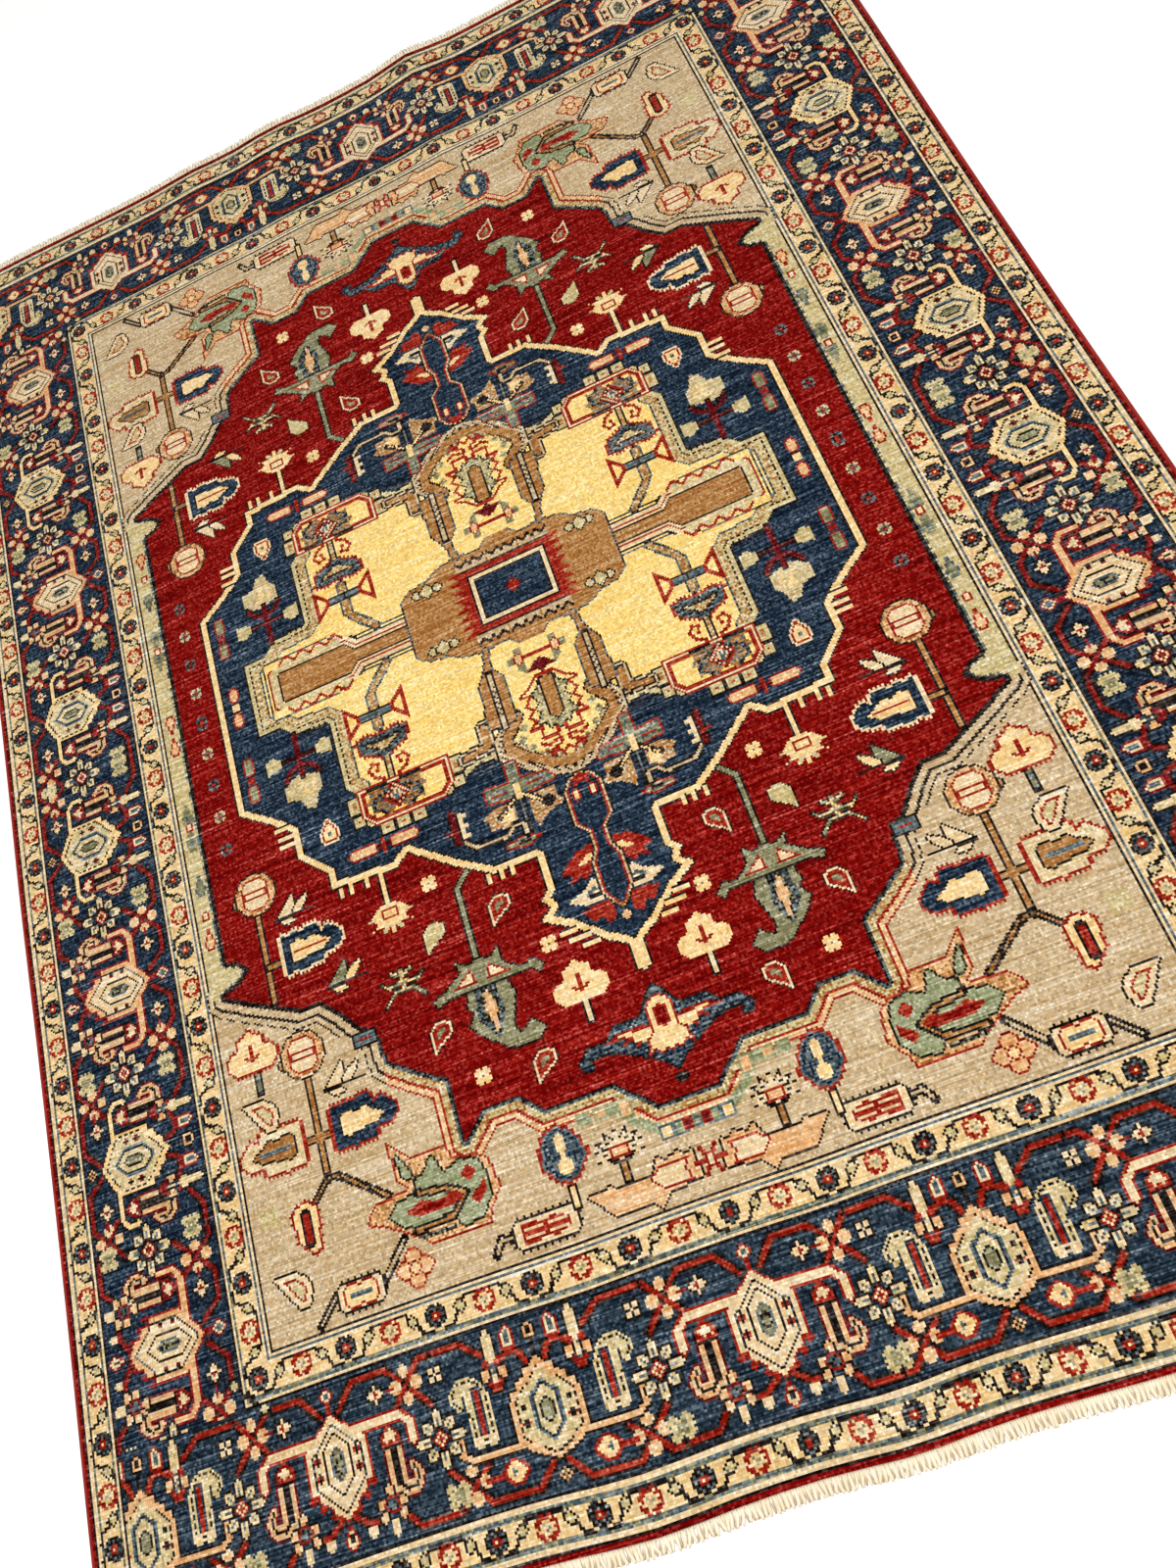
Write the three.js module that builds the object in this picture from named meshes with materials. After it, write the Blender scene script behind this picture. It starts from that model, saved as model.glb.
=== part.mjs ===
// A hand-knotted wool rug, lying flat: a pile slab, two overcast side cords and two fringed end webs.
// Millimetres, +Z up. The rug lies on z = 0, with its length along Y and its middle over the origin.
import * as THREE from 'three';

// The knot grid sets the pile's size: a knot is 3.1 mm each way, about 8 to the inch.
const KNOT = 3.1;
const KNOTS_FROM_MIDDLE_TO_SIDE = 285;
const KNOTS_FROM_MIDDLE_TO_END = 388;
const HALF_WIDTH = KNOTS_FROM_MIDDLE_TO_SIDE * KNOT;
const HALF_LENGTH = KNOTS_FROM_MIDDLE_TO_END * KNOT;

const PILE_THICKNESS = 9;
const CORD = { width: 7.5, height: 7, round: 2.2 };
const WEB = { width: 4, thickness: 2.2 };
const FRINGE = { strands: 144, strandWidth: 6, lean: 2.5, unevenness: 1.5 };
const FRINGE_LENGTH = { near: 15, far: 22 };
const GAP = 0.3;

// Steps along the outline, short enough for the smallest bow below. The sides are nearly straight.
const END_STEP = 12;
const SIDE_STEP = 48;
// A point this close to the straight line past it isn't needed.
const STRAIGHT = 0.03;

// A hand-made edge is uneven. Each row is one soft bow of an edge: where its middle is along the edge,
// how far it pushes the edge outwards and how far it spreads along it.
const BOWS = {
  far: [
    { at: -800, rise: 13, spread: 260 },
    { at: -330, rise: 7, spread: 60 },
    { at: -160, rise: 10, spread: 60 },
    { at: 138, rise: 16, spread: 56 },
    { at: 700, rise: 6, spread: 220 },
  ],
  near: [
    { at: -700, rise: 5, spread: 160 },
    { at: -190, rise: 7, spread: 90 },
    { at: 110, rise: 5, spread: 70 },
    { at: 420, rise: 4, spread: 110 },
  ],
  left: [
    { at: -1100, rise: 4, spread: 260 },
    { at: -150, rise: 2, spread: 180 },
    { at: 620, rise: 3, spread: 240 },
  ],
  right: [
    { at: -420, rise: 6, spread: 380 },
    { at: 760, rise: 2, spread: 200 },
  ],
};

// How far an edge stands out at a place along it.
function bowOf(edge, place) {
  const push = ({ at, rise, spread }) => rise * Math.exp(-(((place - at) / spread) ** 2));
  return BOWS[edge].reduce((sum, bow) => sum + push(bow), 0);
}

// The end lines run across the rug and the side lines along it. Each lies `out` beyond the pile.
const endY = (end, x, out = 0) => (end === 'far' ? 1 : -1) * (HALF_LENGTH + bowOf(end, x) + out);
const sideX = (side, y, out = 0) => (side === 'right' ? 1 : -1) * (HALF_WIDTH + bowOf(side, y) + out);

// A corner of the pile is where an end line and a side line run out.
function corner(end, side) {
  const y = endY(end, side === 'right' ? HALF_WIDTH : -HALF_WIDTH);
  return [sideX(side, y), y];
}

// Evenly spaced places from one value to another.
function places(from, to, step) {
  const count = Math.ceil(Math.abs(to - from) / step);
  return Array.from({ length: count + 1 }, (_, i) => from + ((to - from) * i) / count);
}

// Leaves out the points that a straight line can stand for.
function thinned(points) {
  const kept = [points[0]];
  for (let i = 1; i + 1 < points.length; i++) {
    const [fromX, fromY] = kept.at(-1);
    const [x, y] = points[i];
    const [toX, toY] = points[i + 1];
    const twiceArea = (toX - fromX) * (y - fromY) - (toY - fromY) * (x - fromX);
    if (Math.abs(twiceArea) / Math.hypot(toX - fromX, toY - fromY) > STRAIGHT) {
      kept.push(points[i]);
    }
  }
  return [...kept, points.at(-1)];
}

function yarn(color) {
  return new THREE.MeshStandardMaterial({ color, roughness: 0.95, metalness: 0 });
}

function named(name, geometry, material) {
  const mesh = new THREE.Mesh(geometry, material);
  mesh.name = name;
  return mesh;
}

function extruded(outline, depth) {
  const shape = new THREE.Shape(outline.map(([x, y]) => new THREE.Vector2(x, y)));
  return new THREE.ExtrudeGeometry(shape, { depth, bevelEnabled: false });
}

// A closed skin over a row of rings with the same number of corners, with a flat cap at each end.
function lofted(rings) {
  const corners = rings[0].length;
  const index = [];
  for (let r = 0; r + 1 < rings.length; r++) {
    for (let c = 0; c < corners; c++) {
      const a = r * corners + c;
      const b = r * corners + ((c + 1) % corners);
      index.push(a, b, b + corners, a, b + corners, a + corners);
    }
  }
  const last = (rings.length - 1) * corners;
  for (let c = 1; c + 1 < corners; c++) {
    index.push(0, c + 1, c, last, last + c, last + c + 1);
  }
  const geometry = new THREE.BufferGeometry();
  geometry.setAttribute('position', new THREE.Float32BufferAttribute(rings.flat(2), 3));
  geometry.setIndex(index);
  geometry.computeVertexNormals();
  return geometry;
}

// Pile and foundation together: one slab with the rug's uneven outline.
function carpet() {
  const across = places(-HALF_WIDTH, HALF_WIDTH, END_STEP).slice(1, -1);
  const along = places(-HALF_LENGTH, HALF_LENGTH, SIDE_STEP).slice(1, -1);
  const endLine = (end) =>
    thinned([corner(end, 'left'), ...across.map((x) => [x, endY(end, x)]), corner(end, 'right')]);
  const sideLine = (side) =>
    thinned([corner('near', side), ...along.map((y) => [sideX(side, y), y]), corner('far', side)]);
  const outline = [
    ...endLine('near').slice(0, -1),
    ...sideLine('right').slice(0, -1),
    ...endLine('far').reverse().slice(0, -1),
    ...sideLine('left').reverse().slice(0, -1),
  ];
  return named('carpet', extruded(outline, PILE_THICKNESS), yarn('#8f2a20'));
}

// The overcast edge: a cord of red wool wound along each side, flat underneath.
function sideCord(side) {
  const { width, height, round } = CORD;
  const section = [
    [0, 0],
    [width - round, 0],
    [width, round],
    [width, height - round],
    [width - round, height],
    [round, height],
    [0, height - round],
  ];
  const way = side === 'right' ? 1 : -1;
  const profile = side === 'right' ? section : section.reverse();
  const [, farEnd] = corner('far', side);
  const [, nearEnd] = corner('near', side);
  const rings = places(farEnd, nearEnd, SIDE_STEP).map((y) =>
    profile.map(([out, z]) => [sideX(side, y, GAP) + way * out, y, z]),
  );
  return named(`selvedge_${side}`, lofted(rings), yarn('#9c2318'));
}

// The warp ends past the last knots: a narrow woven web with strands standing out of it like a comb.
function fringe(end) {
  const reach = HALF_WIDTH - GAP;
  const pitch = (2 * reach) / FRINGE.strands;
  const half = FRINGE.strandWidth / 2;
  const edgeOfWeb = (x) => [x, endY(end, x, GAP + WEB.width)];
  const comb = [edgeOfWeb(-reach)];
  for (let s = 0; s < FRINGE.strands; s++) {
    // Strands lean and differ a little in length, in an order that doesn't soon repeat.
    const x = -reach + pitch * (s + 0.5);
    const lean = FRINGE.lean * Math.sin(s * 2.4);
    const length = FRINGE_LENGTH[end] + FRINGE.unevenness * Math.sin(s * 1.7);
    const tipY = endY(end, x, GAP + WEB.width + length);
    comb.push(edgeOfWeb(x - half), [x - half + lean, tipY], [x + half + lean, tipY], edgeOfWeb(x + half));
  }
  comb.push(edgeOfWeb(reach));
  const backing = thinned(places(reach, -reach, END_STEP).map((x) => [x, endY(end, x, GAP)]));
  return named(`fringe_${end}`, extruded([...comb, ...backing], WEB.thickness), yarn('#e8dcc4'));
}

const rug = new THREE.Group();
rug.add(carpet(), sideCord('left'), sideCord('right'), fringe('near'), fringe('far'));

// The bows differ from edge to edge, so the whole is moved to bring its middle over the origin.
const middle = new THREE.Box3().setFromObject(rug).getCenter(new THREE.Vector3());
rug.position.set(-middle.x, -middle.y, 0);

export default rug;
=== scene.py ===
# %% [markdown]
# # A hand-knotted rug, knot by knot
#
# This lesson dresses a rug that is already modelled as plain solids: a pile slab, two side cords and two
# fringes. The solids give the true size and outline. Here they get what makes a rug a rug: a pattern of
# some 450,000 wool knots, the nubs and rows of the pile, cords wound with wool, and a comb of cotton ends.
# All lengths are in metres, and the rug lies on the floor at z = 0 with its length along Y.

# %% Loading the solids
import math

import bmesh
import bpy
import numpy as np
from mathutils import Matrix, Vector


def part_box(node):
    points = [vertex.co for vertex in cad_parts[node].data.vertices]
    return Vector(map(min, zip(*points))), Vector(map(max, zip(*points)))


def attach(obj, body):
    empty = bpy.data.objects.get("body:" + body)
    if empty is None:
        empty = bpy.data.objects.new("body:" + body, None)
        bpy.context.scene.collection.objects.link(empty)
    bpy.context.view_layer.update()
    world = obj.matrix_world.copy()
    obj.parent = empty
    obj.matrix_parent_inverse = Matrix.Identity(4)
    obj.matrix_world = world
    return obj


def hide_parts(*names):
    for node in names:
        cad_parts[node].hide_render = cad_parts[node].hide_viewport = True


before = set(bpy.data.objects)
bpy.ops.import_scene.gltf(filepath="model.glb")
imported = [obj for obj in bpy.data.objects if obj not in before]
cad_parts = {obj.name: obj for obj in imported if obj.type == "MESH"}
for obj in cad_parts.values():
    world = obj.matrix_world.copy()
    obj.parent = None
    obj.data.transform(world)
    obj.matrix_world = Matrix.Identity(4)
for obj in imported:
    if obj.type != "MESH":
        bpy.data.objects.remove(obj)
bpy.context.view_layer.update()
MM = 0.001
print("solids:", ", ".join(sorted(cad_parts)))

# %% [markdown]
# ## The outline
#
# Nobody weaves a perfect rectangle. The solids have soft bows along each edge, and the pattern follows them
# at the edges and runs straighter towards the middle. So the bows come first, as the same small table that
# the solids use, and one function gives how far an edge stands out at a place.

# %% The knot grid and the edges
KNOT = 3.1 * MM
KNOTS_ACROSS, KNOTS_ALONG = 570, 784
MIDDLE_ROW = KNOTS_ALONG // 2
# The far border is beaten down harder, so the 784 rows take the length of 776.
LENGTH_IN_KNOTS = 776
HALF_WIDTH = KNOTS_ACROSS / 2 * KNOT
HALF_LENGTH = LENGTH_IN_KNOTS / 2 * KNOT

# Each bow, in mm: where its middle is along the edge, how far it pushes the edge out, how far it spreads.
BOWS = {
    "far": [(-800, 13, 260), (-330, 7, 60), (-160, 10, 60), (138, 16, 56), (700, 6, 220)],
    "near": [(-700, 5, 160), (-190, 7, 90), (110, 5, 70), (420, 4, 110)],
    "left": [(-1100, 4, 260), (-150, 2, 180), (620, 3, 240)],
    "right": [(-420, 6, 380), (760, 2, 200)],
}


def bow(edge, place):
    """How far an edge stands out, in metres, at places along it in metres."""
    mm = np.asarray(place, float) / MM
    return MM * sum(rise * np.exp(-(((mm - at) / spread) ** 2)) for at, rise, spread in BOWS[edge])


# The solids were moved so that their box is centred, which puts the slab's own middle slightly off.
carpet_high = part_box("carpet")[1]
along_edge = np.linspace(-HALF_WIDTH, HALF_WIDTH, 600)
down_edge = np.linspace(-HALF_LENGTH, HALF_LENGTH, 600)
SLAB_X = carpet_high[0] - HALF_WIDTH - bow("right", down_edge).max()
SLAB_Y = carpet_high[1] - HALF_LENGTH - bow("far", along_edge).max()
PILE_TOP = carpet_high[2]
PATTERN_Y = SLAB_Y - HALF_LENGTH + MIDDLE_ROW * KNOT
print(f"slab middle at {SLAB_X:.4f}, {SLAB_Y:.4f}, pile top at {PILE_TOP:.4f}")
print(f"pattern middle at y {PATTERN_Y:.4f}")

# %% [markdown]
# ## The camera
#
# The view is from a standing person's height beside the near right corner, looking down and turned, so that
# the rug runs out of the picture on all sides. The camera's place and its three axes are given directly,
# because a steep turned view is easier to write as axes than as angles.

# %% Camera
from mathutils import Matrix, Vector

SENSOR_MM, LENS_MM = 36, 25.95
# From the middle of the pattern to the eye, in metres.
TO_THE_RIGHT, TOWARDS_US, ABOVE_THE_PILE = 0.2383, 0.9743, 1.4182


def in_scene(name, data):
    """An object made from its data and linked to the scene."""
    made = bpy.data.objects.new(name, data)
    bpy.context.scene.collection.objects.link(made)
    return made


camera_data = bpy.data.cameras.new("view")
camera_data.sensor_width, camera_data.lens = SENSOR_MM, LENS_MM
camera_data.clip_end = 50
camera = in_scene("view", camera_data)

right = Vector((0.91400, -0.30057, -0.27250)).normalized()
forward = Vector((-0.13944, 0.39802, -0.90672)).normalized()
axes = Matrix((right, right.cross(forward), -forward)).transposed().to_4x4()
eye = Vector((SLAB_X + TO_THE_RIGHT, PATTERN_Y - TOWARDS_US, PILE_TOP + ABOVE_THE_PILE))
camera.matrix_world = Matrix.Translation(eye) @ axes
bpy.context.scene.camera = camera
print("camera", [round(v, 3) for v in eye], "looks along", [round(v, 3) for v in forward])

# %% [markdown]
# ## The knot chart
#
# A weaver works from a squared chart, one square to a knot. The pattern could be drawn by a shader, but no
# formula gives hooked leaves and stepped outlines. So the script keeps a chart of its own: a table with one
# dye number for each knot, on which short functions draw motifs the way they are drafted on squared paper.
# Places are counted in knots from the middle of the pattern. Only the near left quarter is drawn, and the
# other three are its mirror images, as in most rugs of this kind.

# %% The squared paper and its dyes
KNOT_X = np.arange(KNOTS_ACROSS) - KNOTS_ACROSS / 2 + 0.5
KNOT_Y = np.arange(KNOTS_ALONG) - KNOTS_ALONG / 2 + 0.5

DYES = {
    "red": "#7E0B07",
    "vine": "#98291B",
    "madder": "#84201F",
    "maroon": "#651619",
    "navy": "#233243",
    "blue": "#2C3B49",
    "ink": "#26201E",
    "cream": "#ECCD96",
    "ivory": "#E4CCA4",
    "guard": "#E5C895",
    "yellow": "#F2D387",
    "beige": "#C9B28E",
    "khaki": "#CABA8B",
    "camel": "#AC7C49",
    "peach": "#DEB181",
    "slate": "#5D6A6D",
    "sage": "#8B8868",
    "green": "#979C78",
}
DYE_NUMBER = {name: number for number, name in enumerate(DYES)}


def linear(code):
    """A hex colour as the linear red, green and blue that shaders use."""
    values = [int(code[i : i + 2], 16) / 255 for i in (1, 3, 5)]
    return tuple(v / 12.92 if v <= 0.04045 else ((v + 0.055) / 1.055) ** 2.4 for v in values)


chart = np.full((KNOTS_ALONG, KNOTS_ACROSS), DYE_NUMBER["red"], dtype=np.int8)
print("chart of", chart.size, "knots and", len(DYES), "dyes")


# %% [markdown]
# ## Drawing tools
#
# A drawing program has layers and copies. Here a few functions do the same work. A rule says where a motif
# goes and which way it faces, a mask is the set of knots that a shape covers, and painting gives a mask its
# dye. Outlines are set on the paper knot by knot, so a slanting line comes out in steps, as in wool.

# %% Where a motif goes
def put(x=0, y=0, turn=0, flip=False):
    """The rule that takes a motif's own (across, along) to the chart, after quarter turns to the left."""
    cos, sin = ((1, 0), (0, 1), (-1, 0), (0, -1))[turn % 4]

    def at(u, v):
        u = -u if flip else u
        return x + cos * u - sin * v, y + sin * u + cos * v

    return at


HERE = put()


def shifted(at, across, up=0):
    """The same rule, for a motif that stands a little aside."""
    return lambda u, v: at(across + u, up + v)


def mirrored(at, way):
    """The same rule for way 1, and its mirror image across for way -1."""
    return lambda u, v: at(way * u, v)


def either_side(x=0, y=0):
    """Two rules for a motif with a left and a right half: as drawn, and mirrored."""
    return put(x, y), put(x, y, flip=True)


def on_side(distance):
    """The rule for motifs in the left border, which point outwards from so many knots off the middle."""
    return lambda u, v: (-distance - v, u)


def on_end(distance):
    """The same for the border along the near end."""
    return lambda u, v: (u, -distance - v)


print("a knot 2 across and 5 out in a side border is at", on_side(210)(2, 5))


# %% Masks: filling, growing and shrinking
def inside(points, at=HERE):
    """The knots whose middles lie inside an outline."""
    mask = np.zeros(chart.shape, bool)
    corners = [at(u, v) for u, v in points]
    rows = [y for _, y in corners]
    for row in np.flatnonzero((KNOT_Y > min(rows)) & (KNOT_Y < max(rows))):
        y = KNOT_Y[row]
        crossings = sorted(
            x0 + (y - y0) * (x1 - x0) / (y1 - y0)
            for (x0, y0), (x1, y1) in zip(corners, corners[1:] + corners[:1])
            if (y0 > y) != (y1 > y)
        )
        for start, stop in zip(crossings[::2], crossings[1::2]):
            mask[row] |= (KNOT_X > start) & (KNOT_X < stop)
    return mask


def grown(mask, knots):
    """The mask with so many knots more all round. Corners are cut at every other step."""
    for step in range(knots):
        rows = mask.copy()
        rows[1:] |= mask[:-1]
        rows[:-1] |= mask[1:]
        sideways = rows if step % 2 else mask
        wider = rows.copy()
        wider[:, 1:] |= sideways[:, :-1]
        wider[:, :-1] |= sideways[:, 1:]
        mask = wider
    return mask


def shrunk(mask, knots):
    return ~grown(~mask, knots)


print("a lozenge 10 knots wide covers", inside([(-5, 0), (0, 5), (5, 0), (0, -5)]).sum())


# %% Painting
EVERY_THIRD = (np.add.outer(np.arange(KNOTS_ALONG), np.arange(KNOTS_ACROSS)) % 3) == 0
MOTTLED = np.random.default_rng(5).random(chart.shape) < 0.36


def paint(mask, dyes):
    """Paints a mask in one dye or two: "a/b" has b in every third knot, and "a~b" is mottled with b."""
    for mark, second in (("/", EVERY_THIRD), ("~", MOTTLED)):
        if mark in dyes:
            ground, specks = dyes.split(mark)
            chart[mask] = DYE_NUMBER[ground]
            chart[mask & second] = DYE_NUMBER[specks]
            return
    chart[mask] = DYE_NUMBER[dyes]


def nest(mask, *bands):
    """Paints a shape inwards from its edge. A band is (dye, knots), and the last one fills what is left."""
    for dyes, knots in bands:
        paint(mask, dyes)
        mask = shrunk(mask, knots)


def fill(points, dyes, at=HERE):
    paint(inside(points, at), dyes)


def along(points, width, at=HERE):
    """The knots within half a width of a path."""
    mask = np.zeros(chart.shape, bool)
    corners = [at(u, v) for u, v in points]
    for (x0, y0), (x1, y1) in zip(corners, corners[1:]):
        reach = width / 2 + 1
        rows = np.flatnonzero((KNOT_Y > min(y0, y1) - reach) & (KNOT_Y < max(y0, y1) + reach))
        columns = np.flatnonzero((KNOT_X > min(x0, x1) - reach) & (KNOT_X < max(x0, x1) + reach))
        if not len(rows) or not len(columns):
            continue
        x, y = np.meshgrid(KNOT_X[columns] - x0, KNOT_Y[rows] - y0)
        run, rise = x1 - x0, y1 - y0
        share = np.clip((x * run + y * rise) / (run * run + rise * rise + 1e-9), 0, 1)
        near = np.hypot(x - share * run, y - share * rise) <= width / 2
        mask[rows[0] : rows[-1] + 1, columns[0] : columns[-1] + 1] |= near
    return mask


def line(points, dyes, width=1.2, at=HERE):
    paint(along(points, width, at), dyes)


def layered(points, *lines, at=HERE):
    """One path drawn several times over, as (dye, width), so that its edges show."""
    for dyes, width in lines:
        line(points, dyes, width, at)


LETTERS = {
    "r": "vine",
    "k": "ink",
    "c": "cream",
    "i": "ivory",
    "b": "beige",
    "t": "camel",
    "p": "peach",
    "s": "slate",
    "e": "sage",
    "h": "khaki",
}


def stamp(rows, at=HERE, swap=None):
    """Knots a small motif from a chart of letters, whose top row lies farthest along."""
    dyes = {**LETTERS, **(swap or {})}
    for j, row in enumerate(reversed(rows)):
        for i, letter in enumerate(row):
            x, y = at(i - (len(row) - 1) / 2, j - (len(rows) - 1) / 2)
            column, line_up = int(np.floor(x)) + KNOTS_ACROSS // 2, int(np.floor(y)) + MIDDLE_ROW
            if letter in dyes and 0 <= column < KNOTS_ACROSS and 0 <= line_up < KNOTS_ALONG:
                chart[line_up, column] = DYE_NUMBER[dyes[letter]]


print(f"dashes take {EVERY_THIRD.mean():.0%} of a ground, and mottling takes {MOTTLED.mean():.0%}")


# %% Shapes that come back often
def box(x0, y0, x1, y1):
    return [(x0, y0), (x1, y0), (x1, y1), (x0, y1)]


def rectangle(half_x, half_y):
    """The knots of a rectangle round the middle."""
    return inside(box(-half_x, -half_y, half_x, half_y))


def both(points):
    """A shape's left half, with its mirror image joined on."""
    return points + [(-u, v) for u, v in reversed(points)]


def oval(x, y, rx, ry, corners=14):
    turns = [2 * np.pi * (i + 0.5) / corners for i in range(corners)]
    return [(x + rx * np.cos(a), y + ry * np.sin(a)) for a in turns]


def diamond(x, y, rx, ry):
    return [(x - rx, y), (x, y + ry), (x + rx, y), (x, y - ry)]


print("a box, an oval and a diamond have", len(box(0, 0, 1, 1)), len(oval(0, 0, 1, 1)), "and 4 corners")

# %% [markdown]
# ## Small motifs
#
# Rosettes and little flowers are only 6 to 11 knots wide, too few for an outline. The weaver keeps them as
# tiny charts and knots them from memory, always the same. Here each is a few rows of letters, a letter to a
# knot and a dye to a letter, and a full stop leaves the ground as it is.

# %% Small motifs, knot by knot
ROSETTE = [
    "...kkk...",
    ".kkskksk.",
    ".kskksksk",
    "kkkrrrkkk",
    "kskrcrrsk",
    "kkkrrrkkk",
    "kskkskksk",
    ".kkskkkk.",
    "..kkk.k..",
]
RED_ROSETTE = [
    "..rr.rr..",
    ".rr.rrrr.",
    "rrr...rrr",
    "r..bei..r",
    ".r.ibe.rr",
    "rr.eib..r",
    "rrr...rrr",
    ".rrrrr.r.",
    "..rr.rr..",
]
FOUR_PETALS = [
    "kkk.kkk",
    "kiikiik",
    "kiikiik",
    ".kkikk.",
    "kiikiik",
    "kiikiik",
    "kkk.kkk",
]
STAR = [
    "....k....",
    "...kik...",
    ".kkkikkk.",
    ".kiiriik.",
    "kiiirriik",
    ".kiiriik.",
    ".kkkikkk.",
    "...kik...",
    "....k....",
]
GREEN_FLOWER = [
    ".hh...hh..",
    "hhhh.hhhh.",
    "hhehheehhh",
    ".hheeeehh.",
    "hhheheehhh",
    ".hheeeehh.",
    "hhehheehhh",
    "hhhh.hhhh.",
    ".hh...hh..",
]
RED_FLOWER = [
    "...rrrrr...",
    "..rrcccrr..",
    ".rrcccccrr.",
    "rrccccsccrr",
    "rccccssccrr",
    "rrccccsccrr",
    ".rrcccccrr.",
    "..rrcccrr..",
    "....rrr....",
]
LOZENGE = [
    "..ktk..",
    ".kpkpk.",
    "kpktkpk",
    ".kpkpk.",
    "..ktk..",
]
print("small motifs charted")


# %% Outlines and teeth
def outlined(points, *bands, at=HERE, edge=None, knots=1):
    """A filled shape, with a line round it if one is named."""
    mask = inside(points, at)
    if edge:
        paint(grown(mask, knots), edge)
    nest(mask, *bands)


def toothed(mask, dyes, every=3):
    """Small teeth all round a shape: every few knots of its rim stand out by one."""
    rim = grown(mask, 1) & ~mask
    rows, columns = np.nonzero(rim)
    rim[rows, columns] = (rows * 2 + columns) % every == 0
    paint(rim, dyes)


print("outlines and teeth are ready")

# %% [markdown]
# ## The main border
#
# A navy band with a running repeat: two kinds of palmette in turn, a rosette between them, and red vines
# that cross on either side. A weaver counts one repeat and knots it again and again, so each motif here is
# a function that draws in its own directions, across the repeat and out from the field. The sides and the
# ends call the same functions with a different length of repeat.

# %% Ground of the main border
# Half the width and length of the rug's nested frames, in knots.
BORDER_OUT, BORDER_IN, FIELD_HALF = (269, 371), (210, 310), (193, 292)
MAIN_BORDER = rectangle(*BORDER_OUT) & ~rectangle(*BORDER_IN)
END_BORDER = MAIN_BORDER & (np.abs(KNOT_Y)[:, None] > BORDER_IN[1])
paint(MAIN_BORDER, "navy")
print("main border:", MAIN_BORDER.sum(), "knots, of which at the ends", END_BORDER.sum())


# %% Palmettes of the border
def small_crosses(at, out, *heights):
    """Crosses on both sides of a palmette's heart, red across and dark along."""
    for u in (-out, out):
        for v in heights:
            line([(u - 1, v), (u + 1, v)], "vine", 1.1, at)
            line([(u, v - 1), (u, v + 1)], "ink", 1.1, at)


def red_palmette(at, band, arm_reach):
    """A pale palmette edged in red, stepped on its outer half, with an arm bent down on each side."""
    arm = [(7, 19.6), (arm_reach - 4, 19.6), (arm_reach, 23), (arm_reach, 29.5)]
    body = both([
        (0, 12), (-8, 18.5), (-12.5, 22), (-12.8, 36.5), (-10, 37.5), (-9.5, 40.5), (-6, 42), (-5, 45),
        (0, 48),
    ])
    shape = inside(body, at)
    for way in (-1, 1):
        line(arm, "vine", 4.4, mirrored(at, way))
        for u, v in ((13, 38.5), (9.4, 42), (5, 45.6)):
            fill(diamond(u, v, 1.7, 2.2), "vine", mirrored(at, way))
    paint(grown(shape, 1), "vine")
    for way in (-1, 1):
        line(arm, band, 2.3, mirrored(at, way))
    paint(shape, band)
    dots = inside(both([(0, 14.5), (-10.6, 24.5), (-10.6, 36), (0, 46)]), at)
    paint(dots, "ink/slate")
    paint(shrunk(dots, 1), "ivory")
    ring = both([(0, 40), (-5.6, 34.5), (-5.6, 23.5), (0, 18)])
    outlined(ring, ("ink", 1), ("ivory", 9), at=at)
    outlined(both([(0, 35.5), (-3, 32.5), (-3, 25.5), (0, 22.5)]), ("slate", 1), ("sage~ink", 9), at=at)
    small_crosses(at, 8.6, 26, 32)
    outlined(diamond(0, 5, 3.6, 3.6), ("vine", 1), ("ivory", 1), ("slate", 9), at=at)
    fill(box(-1.3, 8, 1.3, 12), "vine", at)
    outlined([(-3.5, 56), (0, 49.5), (3.5, 56), (0, 59)], ("vine", 1), ("ivory", 9), at=at)
    fill(box(-0.6, 53, 0.6, 56), "ink", at)


def stepped_palmette(at, band, arm_reach):
    """A pale palmette in a stepped band of one dye, whose arms leave it at the bottom and bend up."""
    arm = [(12, 43.2), (arm_reach - 4, 43.2), (arm_reach, 40.5), (arm_reach - 0.5, 35.5)]
    outer = both([
        (0, 14.5), (-3, 17.5), (-6, 18.5), (-6.5, 21), (-10, 22), (-10.5, 24.5), (-13.4, 25), (-14, 42),
        (-9, 46), (0, 50),
    ])
    shape = inside(outer, at)
    for way in (-1, 1):
        line(arm, "ink", 3.9, mirrored(at, way))
    paint(grown(shape, 1), "ink")
    for way in (-1, 1):
        line(arm, band, 2.0, mirrored(at, way))
    paint(shape, band)
    wide = 12.6 if band == "cream" else 11.6
    ring = inside(both([(0, 18), (-5.5, 22.5), (-wide, 28), (-wide, 41), (-5, 46), (0, 48.5)]), at)
    nest(ring, ("ink/" + band, 1), ("khaki~ivory", 30))
    navy_ring = both([(0, 22.5), (-6.4, 28), (-6.4, 38), (0, 44)])
    outlined(navy_ring, ("slate", 1), ("navy", 1), ("khaki~ivory", 9), at=at)
    outlined(both([(0, 28), (-2.6, 31), (-2.6, 36), (0, 39)]), ("ink", 1), ("sage", 9), at=at)
    small_crosses(at, 9, 31, 36.5)
    foot = both([(0, 2.5), (-2.2, 4), (-2.2, 7.5), (0, 8.5)])
    outlined(foot, ("peach", 1), ("ink", 2), at=at, edge="ink")
    line([(0, 9), (0, 14)], "ink", 1.1, at)
    stamp(LOZENGE, shifted(at, 0, 55.5))


print("palmettes: one edged in red, one with a stepped edge")


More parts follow.
